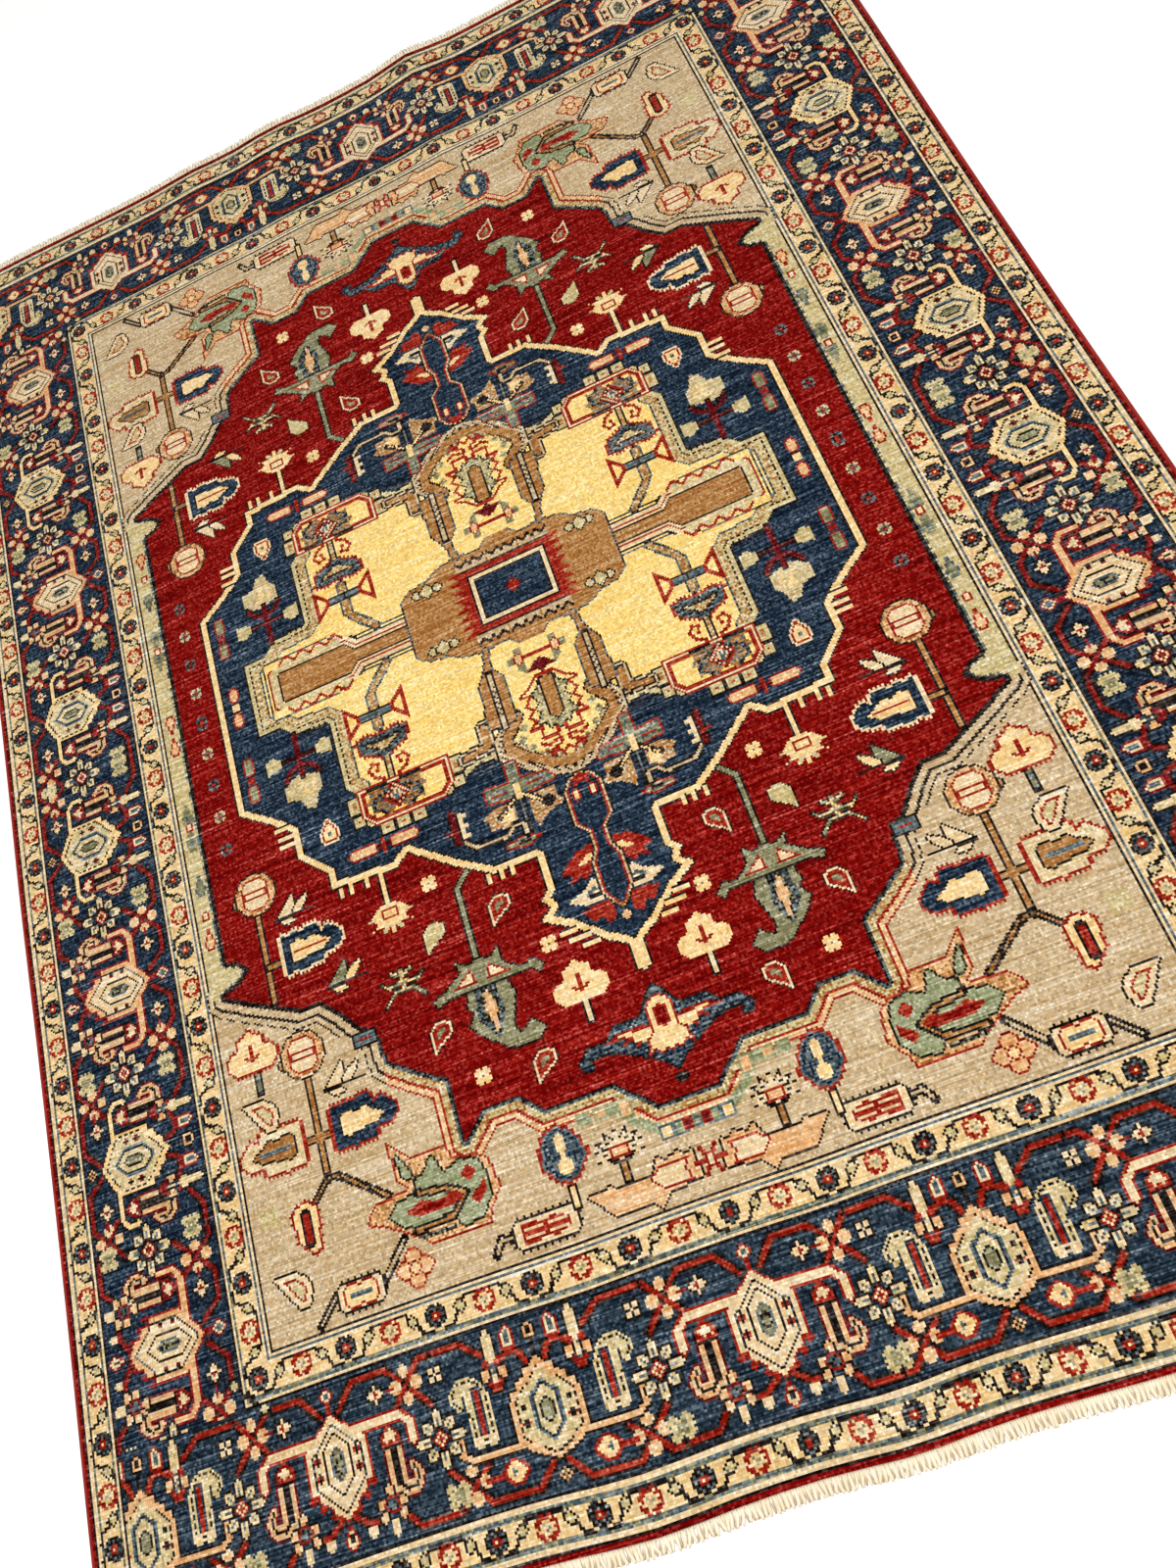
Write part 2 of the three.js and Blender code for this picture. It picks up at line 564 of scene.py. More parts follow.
# %% Canes, cups, crossings and vines
def downward_cane(at):
    """A flower over a shaft with a dark core; the shaft ends in a hook that turns outwards."""
    leaf = [
        (-3.8, 29), (-3.8, 42), (-1.6, 45.5), (1.5, 47.5), (6.5, 47.5), (9, 45), (10.4, 41), (9.4, 38),
        (6.6, 35.4), (5, 36), (6.4, 40), (5.8, 42.4), (3.8, 42), (3.8, 29),
    ]
    outlined(leaf, ("peach~beige", 9), at=at, edge="maroon")
    line([(0, 27), (0, 42)], "ink", 3, at)
    line([(0, 41), (2.5, 45), (6.4, 44.6), (8.4, 41.4), (7, 38)], "ink", 1.1, at)
    dome = both([(-4, 29.5), (-4, 25.5), (0, 21.5)])
    outlined(dome, ("vine", 1), ("vine/ivory", 1), ("ivory", 9), at=at, edge="ink")


def upward_cane(at):
    """A pale shaft with a thin core and a toothed foot; its hook turns outwards at the top."""
    leaf = [
        (-4.8, 39), (-4.8, 22), (-2, 17.5), (2, 14.5), (6, 15), (10.6, 19), (11.4, 21.5), (8.4, 26),
        (5.6, 27), (5, 39), (2.6, 40.5), (0, 39), (-2.6, 40.5),
    ]
    outlined(leaf, ("ivory~khaki", 1), ("ink/khaki", 1), ("khaki~ivory", 9), at=at)
    line([(0, 34), (0, 21)], "navy", 4.8, at)
    line([(5.4, 22), (5.8, 30)], "navy", 1.8, at)
    line([(0, 36), (0, 21)], "vine", 1.5, at)
    fill(box(-4.4, 35.5, 4.4, 38.6), "ivory", at)
    fill(box(-0.6, 36.6, 0.6, 37.6), "ink", at)


def cup_flower(at):
    """A ring of red with small pale petals round it, and one long petal that points out."""
    for u, v in ((0, -5), (-4.4, -0.6), (4.4, -0.6), (-4, 3.6), (4, 3.6)):
        outlined(oval(u, v, 1.9, 1.9, 6), ("peach~ivory", 9), at=at, edge="ink")
    outlined(oval(0, 0, 3.4, 3.2, 8), ("vine", 1), ("slate~ink", 9), at=at)
    fill(both([(-1.8, 4.4), (-1.8, 9), (0, 10.4)]), "ivory", at)


def candle_flower(at):
    """A slender pale candle between two red dots, over a small cup with a red point."""
    candle = both([(0, 0.8), (-1.6, 3), (-2.2, 11.5), (-0.8, 13)])
    outlined(candle, ("ivory~khaki", 9), at=at, edge="ink")
    for way in (-1, 1):
        outlined(oval(way * 3.4, 17, 1.7, 2.4, 6), ("peach", 9), at=at, edge="ink")
        fill(oval(way * 2.4, 13, 1.5, 1.6, 6), "vine", at)
    outlined(both([(-3.4, 19.4), (-1, 23.5)]), ("vine", 9), at=at, edge="ink")
    line([(0, 14), (0, 19)], "ivory~slate", 1.8, at)


def crossing(at):
    """Two vines cross, with four soft blobs between them."""
    for u, v in ((-4.6, 0), (4.6, 0), (0, -4.8), (0, 4.8)):
        fill(oval(u, v, 2.4, 2.6, 8), "peach~ivory", at)


def vine(points, at):
    """Red with a dark edge on both sides."""
    layered(points, ("ink", 4.2), ("vine", 1.9), at=at)


def big_rosette(at):
    """Eight petals round a red ring."""
    for k in range(8):
        cos, sin = np.cos(np.pi / 4 * k), np.sin(np.pi / 4 * k)
        reach = 10.6 if k % 2 == 0 else 9.4
        petal = [
            (4.4, -0.8), (6, -1.9), (reach - 1.8, -1.9), (reach, 0), (reach - 1.8, 1.9), (6, 1.9),
            (4.4, 0.8),
        ]
        turned = [(a * cos - b * sin, 32.5 + a * sin + b * cos) for a, b in petal]
        outlined(turned, ("ivory~khaki", 9), at=at, edge="ink")
        line([(4.6 * cos, 32.5 + 4.6 * sin), (7.4 * cos, 32.5 + 7.4 * sin)], "slate", 1.1, at)
    outlined(diamond(0, 32.5, 3.8, 3.8), ("vine", 1), ("ivory", 1), ("vine", 9), at=at, edge="ink")


print("canes, cups, candles, crossings, vines and the big rosette are ready")


# %% One repeat of the border
def red_unit(at, unit, band):
    """A red-edged palmette and all that stands beside it."""
    for way in (-1, 1):
        off = mirrored(at, way)
        vine([(4, 11.5), (11.5, 3.2), (unit - 17, 3.2), (unit - 9.5, 10.5), (unit - 1, 20)], off)
        vine([(unit - 15, 17), (unit - 9.5, 10.5), (unit - 3, 3.4), (unit + 1, 3.4)], off)
        vine([(2, 47.5), (8, 51.6), (14, 51.6)], off)
        vine([(24, 52.5), (28, 57.6), (unit + 1, 57.6)], off)
        crossing(shifted(off, unit - 9.5, 10.5))
        line([(unit - 15, 10.5), (unit - 18.5, 10.5)], "vine", 1.4, off)
        stamp(STAR, shifted(off, unit - 23, 10.5))
        downward_cane(shifted(off, 0.54 * unit))
        cup_flower(shifted(off, 18.6, 48.2))
        outlined([(7, 52.5), (11, 52.5), (11, 55.5), (9, 57.5), (7, 55.5)], ("ivory", 9), at=off)
    red_palmette(at, band, unit - 11)


def stepped_unit(at, unit, band, inner_flower, outer_flower):
    """A stepped palmette and all that stands beside it, with a small flower on each of its vines."""
    for way in (-1, 1):
        off = mirrored(at, way)
        vine([(3.5, 17), (5.5, 12), (9, 10.8), (14, 12.4)], off)
        vine([(21, 9), (28, 3.4), (unit + 1, 3.4)], off)
        over_the_top = [
            (2.5, 50.5), (9.5, 57.8), (unit - 14.5, 57.8), (unit - 8, 51), (unit - 0.5, 44),
            (unit - 0.5, 40),
        ]
        vine(over_the_top, off)
        vine([(unit - 16, 46), (unit - 9.5, 50.8), (unit - 3, 57.6), (unit + 1, 57.6)], off)
        crossing(shifted(off, unit - 9, 50.8))
        line([(unit - 14, 50.8), (unit - 21, 50.8)], "vine", 1.5, off)
        stamp(outer_flower, shifted(off, 18, 50.5))
        if band == "peach":
            upward_cane(shifted(off, 26))
        else:
            downward_cane(lambda u, v: off(20.5 + u, 63 - v))
        pod = [(8.8, 1), (5.6, 4), (5.6, 9.6), (12, 9.6), (12, 4)]
        outlined(pod, ("vine", 1), ("ivory", 1), ("slate", 2), at=off)
        candle_flower(shifted(off, 17))
        stamp(inner_flower, shifted(off, unit - 3, 10.5))
    stepped_palmette(at, band, unit - 7 if band == "peach" else unit - 12)


def border_rosette(at):
    """The big rosette with a small green flower over it."""
    stamp(GREEN_FLOWER, shifted(at, 2, 52.5))
    big_rosette(at)


def border_run(at, unit, kinds, red_band, *stepped):
    """Motifs side by side from the middle of a border outwards: Red, Stepped and Flower."""
    places = [shifted(at, -k * unit) for k in range(len(kinds))]
    for kind, place in zip(kinds, places):
        if kind == "R":
            red_unit(place, unit, red_band)
        elif kind == "S":
            stepped_unit(place, unit, *stepped)
    for kind, place in zip(kinds, places):
        if kind == "F":
            border_rosette(place)


SIDE_REPEAT, END_REPEAT = 39.5, 43.5
border_run(on_side(BORDER_IN[0]), SIDE_REPEAT, "FSFRFSFRF", "peach", "cream", GREEN_FLOWER, STAR)
paint((chart == DYE_NUMBER["vine"]) & MAIN_BORDER, "madder")
paint(END_BORDER, "navy")
border_run(on_end(BORDER_IN[1]), END_REPEAT, "RFSFRFSF", "ivory", "peach", FOUR_PETALS, RED_FLOWER)
print("main border charted")


# %% [markdown]
# ## The guard stripes
#
# Narrow cream stripes stand on both sides of the main border, each between thin lines. A vine waves along
# them under charcoal and red rosettes in turn. Here too one repeat is drawn and knotted along the sides and
# the ends.

# %% Guard stripes
OUTER_GUARD = ~rectangle(*BORDER_OUT)
INNER_GUARD = rectangle(*BORDER_IN) & ~rectangle(*FIELD_HALF)


def stripes(where, edges):
    """Rectangles painted one inside the other: (half width, half length, dye)."""
    for half_x, half_y, dyes in edges:
        paint(rectangle(half_x, half_y) & where, dyes)


def guard_vine(at, pitch):
    """One repeat: a charcoal rosette, and half a vine on each side of it."""
    for way in (-1, 1):
        off = mirrored(at, way)
        line([(pitch / 2, -4.6), (13, -4.6), (12, -3)], "ink", 1.5, off)
        line([(8.5, 0.6), (6.5, 4.6), (2.5, 4.8)], "ink", 1.5, off)
        outlined(diamond(10.4, -1.2, 3, 3.2), ("ink", 1), ("khaki", 2), at=off)
    stamp(ROSETTE, at)


def guard_run(at, length, repeats):
    """A stripe from an edge's middle to its corner: charcoal rosettes, and red ones halfway between."""
    pitch = length / repeats
    for k in range(repeats + 1):
        guard_vine(shifted(at, -k * pitch), pitch)
    for k in range(repeats):
        stamp(RED_ROSETTE, shifted(at, -(k + 0.5) * pitch))


stripes(OUTER_GUARD, [
    (286, 393, "red"), (284, 390, "ink"), (283, 389, "ivory"), (281, 387, "slate~sage"),
    (280, 385, "guard"), (272, 376, "slate~sage"), (271, 374, "ivory"), (270, 372, "ink"),
])
OUTER_X, OUTER_Y = 276, 380.5
guard_run(on_side(OUTER_X), OUTER_Y, 10)
guard_run(on_end(OUTER_Y), OUTER_X, 7)
stripes(INNER_GUARD, [
    (210, 310, "ink"), (209, 309, "ivory"), (208, 308, "slate~sage"), (207, 306, "guard"),
    (197, 296, "ivory"), (196, 295, "slate"), (195, 294, "ivory"), (194, 293, "ink"),
])
INNER_X, INNER_Y = 202, 301
guard_run(on_side(INNER_X), INNER_Y, 8)
guard_run(on_end(INNER_Y), INNER_X, 5)
print("guards charted")

# %% [markdown]
# ## The field
#
# The field has a red ground with a scalloped edge. Beige corners lie outside it, with a branch of leaves
# and flowers in each, and two pale strips run down the sides. The ground is charted first, with bands
# round its edge that are the same shape grown by a few knots, and the flowers are strewn on it afterwards.

# %% The field: beige corners, khaki sides and the red ground with its scalloped edge
FIELD = rectangle(*FIELD_HALF)
paint(FIELD, "beige")

RED_EDGE = [
    (-182, 0), (-182, -127), (-177, -128), (-171, -133), (-176, -139), (-187, -142), (-170, -151),
    (-150, -161), (-141, -161), (-130, -172), (-124, -180), (-118, -182), (-116, -198), (-100, -209),
    (-92, -214), (-92, -242), (-81, -231), (-66, -231), (-56, -240), (-28, -240), (-12, -254),
    (0, -254),
]


def whole(quarter):
    """A closed outline with four alike quarters, from one that runs from the side's middle to the end's."""
    half = both(quarter)
    return half + [(-u, -v) for u, v in half]


red_ground = inside(whole(RED_EDGE))
# Within these columns and past this row the edge faces the rug's end. Within these rows it faces a side.
END_WITHIN, END_PAST, SIDE_WITHIN = 119, 181, 142
END_PART = (np.abs(KNOT_X) < END_WITHIN)[None, :] & (np.abs(KNOT_Y) > END_PAST)[:, None]
SIDE_PART = (np.abs(KNOT_Y) < SIDE_WITHIN)[:, None] & FIELD
EDGE_BANDS = [
    (9, "vine", "ink/beige"), (8, "peach~ivory", "beige"), (6, "vine", "ink"),
    (5, "khaki~camel", "beige"), (2, "slate~ink", "ink"),
]
for width, end_dyes, corner_dyes in EDGE_BANDS:
    edge = grown(red_ground, width) & ~SIDE_PART
    paint(edge & END_PART, end_dyes)
    paint(edge & ~END_PART, corner_dyes)
paint(SIDE_PART, "khaki")
paint(grown(red_ground, 3) & SIDE_PART, "slate~khaki")
paint(grown(red_ground, 2) & SIDE_PART, "ink")
paint(grown(red_ground, 1), "ink")
paint(red_ground, "red")
nest(inside(box(-130, -188, -118, -181)), ("ink", 1), ("slate", 2), ("vine", 3))
print("red ground:", red_ground.sum(), "of the field's", FIELD.sum(), "knots")

# %% [markdown]
# ## Side strips and corners
#
# Along the middle of each side runs a pale strip with drops on it, and small square flowers follow it on
# the red. Each corner has one branch that bears leaves, roundels and a bud. Leaves of one kind have the
# same outline in other dyes, so a function draws the leaf and is told its dyes and its place. A ring of
# little teeth softens the edge of some, as it does on the real rug.

# %% Motifs on the side strips and along the red margin
TEARDROP = [(-5, -8), (-5.5, 0), (-3, 4), (1, 5.4), (5, 3.4), (5.5, 0), (2, -3)]


def drop(x, y, rx, ry, *bands):
    """A teardrop that points along."""
    shape = both([(0, ry), (-rx * 0.55, ry * 0.35), (-rx, -ry * 0.35), (-rx * 0.6, -ry)])
    outlined(shape, *bands, at=put(x, y))


for y in (-6, -112):
    drop(-188, y, 3, 6, ("vine", 1), ("peach", 3))
for y in (-46, -59):
    drop(-188, y, 3.4, 7, ("sage", 2), ("slate", 3))
for y in (-52, -100):
    drop(-188, y, 2.4, 3, ("vine", 1), ("ivory", 2))
drop(-188, -84, 3, 6, ("slate", 1), ("sage", 3))

MARGIN_FLOWER = [
    ".s.ss.",
    "sskkss",
    ".krrks",
    "skrrk.",
    "sskkss",
    ".ss.s.",
]
PALE_FLOWER = {"s": "khaki", "k": "slate", "r": "vine"}
for y in (-1, -36, -72):
    stamp(MARGIN_FLOWER, put(-171, y))
for y in (-18, -54):
    stamp(MARGIN_FLOWER, put(-171, y), PALE_FLOWER)
print("side strips charted")


# %% Leaves and flowers of the corner branch
TREFOIL = both([
    (0, 10), (-3, 7), (-6, 5.6), (-6, 2), (-10, 0.6), (-12, -2), (-11.6, -6), (-9, -8.6), (-4, -9.5),
])
BANNER_LEAF = [
    (-15, 9.5), (-11, 8.5), (-8, 9.7), (-4, 8.5), (-1, 10), (4, 9.5), (5.5, 5), (9, 7), (13, 4),
    (15.5, 0), (13, -4), (9, -5.5), (5, -5), (3.5, -9), (-2, -8.6), (-6, -9.7), (-10, -8.6),
    (-15, -9.5),
]
LEAF_CORE = [
    (-11, 4), (-7, 5.4), (-3, 3.6), (1, 5.2), (5, 2), (9.5, 0), (5, -3), (-2, -3.6), (-8, -4.7),
    (-11, -4),
]


def trefoil(x, y):
    """A pale three-lobed leaf with a red sprig."""
    at = put(x, y)
    outlined(TREFOIL, ("cream", 30), at=at)
    line([(0, 3), (0, -4)], "vine", 1.4, at)
    line([(-3, -2.5), (0, -4.5), (3, -2.5)], "vine", 1.6, at)


def stem(points, heart="camel"):
    """A light line between two dark ones."""
    layered(points, ("ink", 3.6), (heart, 1.3))


def roundel(x, y):
    """A round pale flower with an eight-sided red ring, and a small dark bud at its side."""
    at = put(x, y)
    nest(inside(oval(-9.5, -1.5, 3.4, 3.4, 8), at), ("ink", 1), ("camel", 1), ("ink", 3))
    outlined(oval(0, 0, 10.6, 10.4, 10), ("peach~camel", 30), at=at, edge="ink")
    ring = [(-7.4, -4), (-7.4, 4), (-4, 7.8), (4, 7.8), (7.4, 4), (7.4, -4), (4, -7.8), (-4, -7.8)]
    nest(inside(ring, at), ("vine", 1), ("ivory", 20))
    layered([(-5, 0), (5, 0)], ("vine", 3.4), ("ivory", 1.2), at=at)


def bird_leaf(x, y, first="ivory", second="ivory"):
    """Three small leaves on a slanting stalk, like a bird with its wings up."""
    at = put(x, y)
    leaves = [
        (first, [(-9.5, -3.5), (-5, 0.5), (0.6, 5.6), (1, 1), (-1.5, -3)]),
        (second, [(-0.5, -3), (1, 0), (7.6, 4), (7.4, 0.5), (4, -3)]),
        (second, [(-8.5, -4.5), (-4, -7.6), (1, -7), (-2.5, -4.5)]),
    ]
    for dyes, leaf in leaves:
        outlined(leaf, (dyes, 9), at=at, edge="ink")
    line([(-10, -4), (10, -3.6)], "ink", 1.1, at)


def banner_leaf(x, y, flip, edge, ground, core, core_edge, vein=None):
    """A wide leaf that narrows to a point, with a toothed edge and a pale heart."""
    at = put(x, y, flip=flip)
    shape = inside(BANNER_LEAF, at)
    paint(grown(shape, 1), edge)
    toothed(grown(shape, 1), edge, 2)
    paint(shape, ground)
    heart = inside(LEAF_CORE, at)
    toothed(heart, core_edge, 2)
    paint(grown(heart, 1), core_edge)
    paint(heart, core)
    if vein:
        line([(-9, 0), (6, 0)], vein, 1.4, at)


print("trefoil, roundel, bird leaf and banner leaf are ready")


# %% The corner branch
def corner_branch():
    """Two upright stems with a crossbar, and all that hangs on them."""
    stem([(-154, -190), (-154, -236)])
    stem([(-164, -218), (-146, -218)])
    fill(diamond(-154, -218, 3.4, 3.4), "camel")
    stem([(-154, -235), (-162, -243)])
    stem([(-154, -235), (-149, -236), (-129, -251)], "camel/ink")
    line([(-177, -179), (-177, -190)], "ink", 4.4)
    line([(-177, -179), (-177, -189)], "slate~sage", 2.4)
    leaf = inside(TREFOIL, put(-178, -171))
    toothed(grown(leaf, 1), "vine", 2)
    paint(grown(leaf, 1), "vine")
    trefoil(-178, -171)
    roundel(-154, -181)
    banner_leaf(-177, -217, True, "vine", "ivory~khaki", "camel", "ink", "slate")
    banner_leaf(-132, -217, False, "vine", "navy", "cream", "ink/navy")
    bud = inside([
        (-172, -242), (-166, -241), (-161, -244), (-162, -262), (-167, -263), (-173, -256),
        (-174, -246),
    ])
    toothed(bud, "vine", 3)
    nest(bud, ("vine", 1), ("cream", 20))
    line([(-167.5, -246), (-167.5, -258)], "ink", 4.6)
    line([(-167.5, -247), (-167.5, -257)], "vine", 2.4)
    wide_drop = [(u * 1.3, v * 1.2) for u, v in TEARDROP]
    for x, y in ((-177, -201), (-177, -274)):
        outlined(wide_drop, ("ivory", 2), ("vine", 1), ("khaki", 6), at=put(x, y, 3), edge="ink")
    bird_leaf(-138, -196)
    stamp(GREEN_FLOWER, put(-184, -243), {"e": "khaki"})


corner_branch()
print("corner branch charted")

# %% [markdown]
# ## The row along the end
#
# Between the corner branches lies one row of large motifs: a green vase palmette on its side, two
# scalloped boxes, a dark bud, a boat-shaped leaf and a half flower with rays. Each occurs once in a
# quarter, so its outline is given in the chart's own numbers, and only rays and box rims are worked out.

# %% The vase palmette
def end_vase():
    """The big lobed palmette that lies on its side near the end of a corner."""
    outer = [
        (-126, -229), (-120, -236), (-116, -239), (-100, -239), (-99, -245), (-90, -246), (-84, -250),
        (-82, -262), (-88, -270), (-89, -275), (-115, -275), (-122, -270), (-133, -263), (-141, -260),
        (-140, -256), (-135, -252), (-121, -251), (-125, -246),
    ]
    shape = inside(outer)
    paint(shape, "vine")
    paint(shrunk(shape, 1), "peach~camel")
    ovals = [oval(-125 + du, -281 + dv, 3.4, 3.2, 8) for du, dv in (
        (-4.6, 0), (4.6, 0), (0, -4.4), (0, 4.4),
    )]
    petals = np.any([inside(points) for points in ovals], axis=0)
    paint(grown(petals, 1), "vine")
    paint(petals, "peach")
    fill(diamond(-125, -281, 4, 4), "vine")
    fill(diamond(-125, -281, 2.4, 2.4), "cream")
    horn = [(-123, -236), (-122, -246), (-117, -248), (-119, -243)]
    body = [
        (-131, -259), (-127, -255), (-118, -254), (-117, -249), (-112, -247), (-108, -241),
        (-104, -250), (-97, -247), (-89, -249), (-87, -256), (-87, -264), (-92, -271), (-101, -272),
        (-104, -267), (-118, -266), (-126, -265),
    ]
    outlined(horn, ("green", 9), edge="ink")
    outlined(body, ("green", 30), edge="ink")
    stem([(-117, -254), (-104, -256), (-97, -260), (-104, -267), (-121, -268)])
    fill([
        (-124, -260), (-117, -257), (-110, -259), (-100, -258), (-97, -261), (-104, -263), (-118, -263),
    ], "vine")
    fill([(-121, -260), (-112, -259), (-104, -261), (-112, -262)], "red")
    fill([(-96, -263), (-88, -257), (-88, -262), (-93, -266)], "vine")
    fill(oval(-94, -253, 2.8, 2.8), "vine")
    line([(-119, -271), (-105, -271)], "ink~sage", 2.6)


end_vase()
print("vase palmette charted")


# %% Scalloped boxes, bud, boat and half flower
def cartouche(x, y, half, tails):
    """A scalloped box: dark line, pale band and red figure, with a stem at one or both ends."""
    for tail in tails:
        stem(tail, "beige")
    shape = inside(both([(4 - half, -6.5), (-half, -4), (-half, 4), (4 - half, 6.5)]), put(x, y))
    toothed(shape, "ink", 3)
    nest(shape, ("ink", 1), ("ivory", 20))


cartouche(-150, -283, 11, [[(-161, -281), (-170, -290)], [(-139, -282), (-127, -269)]])
waisted = [
    (-158, -286), (-158, -280), (-155, -278), (-151, -278), (-150, -279.5), (-149, -278), (-145, -278),
    (-142, -280), (-142, -286), (-145, -288), (-149, -288), (-150, -286.5), (-151, -288), (-155, -288),
]
nest(inside(waisted), ("vine", 1), ("cream", 9))
line([(-154.5, -283), (-145.5, -283)], "slate", 1.4)
cartouche(-69, -283, 14, [[(-83, -283), (-88, -282), (-91, -287)]])
fill([
    (-79, -286.5), (-79, -279.5), (-74, -279), (-70, -280), (-65, -279), (-59, -281), (-59, -285),
    (-65, -287), (-70, -286), (-74, -287),
], "vine")
for x0, x1 in ((-77, -71), (-67, -61)):
    line([(x0, -281.5), (x1, -281.5)], "ivory", 1.1)
    line([(x0, -284.5), (x1, -284.5)], "ivory", 1.1)


def end_bud():
    """A dark bud with a pale figure in it."""
    stem([(-55, -272), (-55, -280)], "cream")
    shape = inside([
        (-61, -249), (-55, -247), (-50, -250), (-46, -256), (-45, -262), (-50, -269), (-55, -271),
        (-60, -269), (-65, -262), (-64, -255),
    ])
    toothed(shape, "vine", 2)
    nest(shape, ("vine", 1), ("slate", 1), ("navy", 1), ("slate~navy", 20))
    for x, y, rx, ry in ((-55, -255, 2.6, 4.6), (-55, -264, 3.4, 3.6), (-55, -260, 1.2, 4)):
        fill(oval(x, y, rx, ry, 8), "cream")


def boat():
    """A long boat-shaped leaf that lies along the end, with a smaller leaf on its stern."""
    hull = [
        (-50, -278), (-42, -278.5), (-41, -276), (-39, -278.5), (-23, -278.5), (-20, -272), (-17, -275),
        (-12, -273), (-9, -275), (-6, -274), (-5, -285), (-18, -286), (-24, -291), (-27, -287.5),
        (-42, -287.5),
    ]
    outlined(hull, ("peach", 30), edge="ink")
    nest(inside([
        (-26, -280), (-20, -276), (-8, -276), (-10, -280), (-8, -285), (-20, -285),
    ]), ("vine", 1), ("ivory", 9))


def end_sunburst(x, y):
    """A half flower of dark rays with pale middles, on a stem."""
    stem([(x, y - 4), (x, y - 12)])
    at = put(x, y)
    rays = -0.35 + (np.pi + 0.7) * np.arange(9) / 8
    for u, v in zip(np.cos(rays), np.sin(rays)):
        fill([(3 * v, -3 * u), (11.5 * u, 9.5 * v), (-3 * v, 3 * u)], "ink", at)
    fill(oval(0, 0, 7, 5.4), "ink", at)
    for u, v in zip(np.cos(rays), np.sin(rays)):
        line([(0, 0), (8 * u, 6.4 * v)], "ivory", 1.5, at)
    fill(oval(0, 0, 5, 3.6), "ivory", at)
    outlined(box(-4, -3, 4, 2), ("vine", 1), ("peach", 5), at=at)


def end_blocks():
    """Pale blocks that hang from the scalloped edge in the middle of the end."""
    for x0, y0, dyes in (
        (-46, -252, "green"), (-39, -252, "peach"), (-33, -252, "green"), (-29, -255, "peach"),
    ):
        outlined(box(x0, y0, x0 + 6, -247), ("green", 1), (dyes, 9))
    fill([(-25, -254), (-13, -262), (-15, -266), (-27, -257)], "green")
    for x0, dyes in ((-16, "cream"), (-10, "green")):
        nest(inside(box(x0, -268, x0 + 6, -262)), ("slate", 1), (dyes, 9))
    nest(inside(box(-6, -267, -2, -262)), ("vine", 1), ("maroon", 3))
    fill(box(-2, -268, 2, -262), "slate~sage")
    for way in (-1, 1):
        line([(-3.4, -280 - way * 5.5), (3.4, -280 + way * 5.5)], "vine", 2)
    line([(-6, -280), (6, -280)], "vine", 1.6)
    fill(box(-1.5, -282, 1.5, -278), "ivory")


end_bud()
boat()
end_sunburst(-33, -265)
end_blocks()
print("row along the end charted")

# %% [markdown]
# ## Flowers on the red ground
#
# The red ground was left for last: a tall palmette that hangs from a bent stem, leaves, drops and
# little lobed flowers fill it without a grid. The wide slate palmette stands on the middle line, so only
# its left half is given and both() adds the other.

# %% Flowers strewn on the red ground
LOBED = [
    ".cc.cc.",
    "ccccccc",
    "ccccccc",
    ".ccscc.",
    "ccccccc",
    "ccccccc",
    ".cc.cc.",
]
for x, y in ((-79, -129), (-36, -176), (-78, -219)):
    stamp(LOBED, put(x, y))
outlined(TEARDROP, ("khaki", 9), at=put(-82, -152), edge="ink/red")
for x, y in ((-51, -151), (-90, -195), (-51, -222)):
    outlined(TEARDROP, ("ivory", 1), ("vine", 2), ("sage", 5), at=put(x, y), edge="ink/red")


def tall_palmette():
    """A stem that bends over a winged palmette with a curled foot."""
    layered([(-59, -128), (-67, -136), (-67, -172)], ("ink", 4), ("sage", 2))
    wings = [
        (-67, -170), (-72, -171), (-77, -168), (-75, -173), (-84, -179), (-90, -181), (-89, -184),
        (-82, -182), (-52, -182), (-45, -182), (-43, -185), (-40, -183), (-43, -179), (-50, -180),
        (-57, -175), (-57, -168), (-61, -171),
    ]
    outlined(wings, ("sage", 30), edge="ink")
    for at in either_side(-67):
        outlined([(-14, -180.5), (-4, -173), (-2, -180.5)], ("vine", 1), ("ivory", 9), at=at)
    body = [
        (-75, -183), (-76, -190), (-74, -192), (-77, -197), (-74, -202), (-69, -206), (-65, -210),
        (-60, -212), (-51, -212), (-46, -208), (-51, -203), (-55, -206), (-58, -207), (-59, -202),
        (-57, -196), (-55, -190), (-57, -183),
    ]
    outlined(body, ("sage", 30), edge="ink")
    paint(inside([(-72, -183), (-73, -196), (-66, -206), (-61, -196), (-62, -183)]), "slate~ink")
    paint(inside([(-70, -185), (-70, -195), (-66, -203), (-63, -195), (-64, -185)]), "ink~sage")
    fill([(-67, -182), (-69, -192), (-66, -205), (-64, -192)], "peach")


tall_palmette()
layered([(-28, -203), (-28, -212)], ("ink", 4.4), ("ivory", 1.8))
trefoil(-28, -195)


def sprig(x, y):
    """Thin crossed twigs, pale in a dark outline."""
    twigs = [
        [(-10, 3), (-7, 0), (-2, 1), (2, 1), (7, 0), (10, 3)],
        [(-10, -8), (-5, -3), (0, -2), (5, -3), (9, -8)],
        [(0, 7), (0, -2)],
        [(-5, 6), (0, 4), (5, 6)],
    ]
    for dyes, width in (("ink", 2.8), ("sage~cream", 1.4)):
        for twig in twigs:
            line(twig, dyes, width, put(x, y))


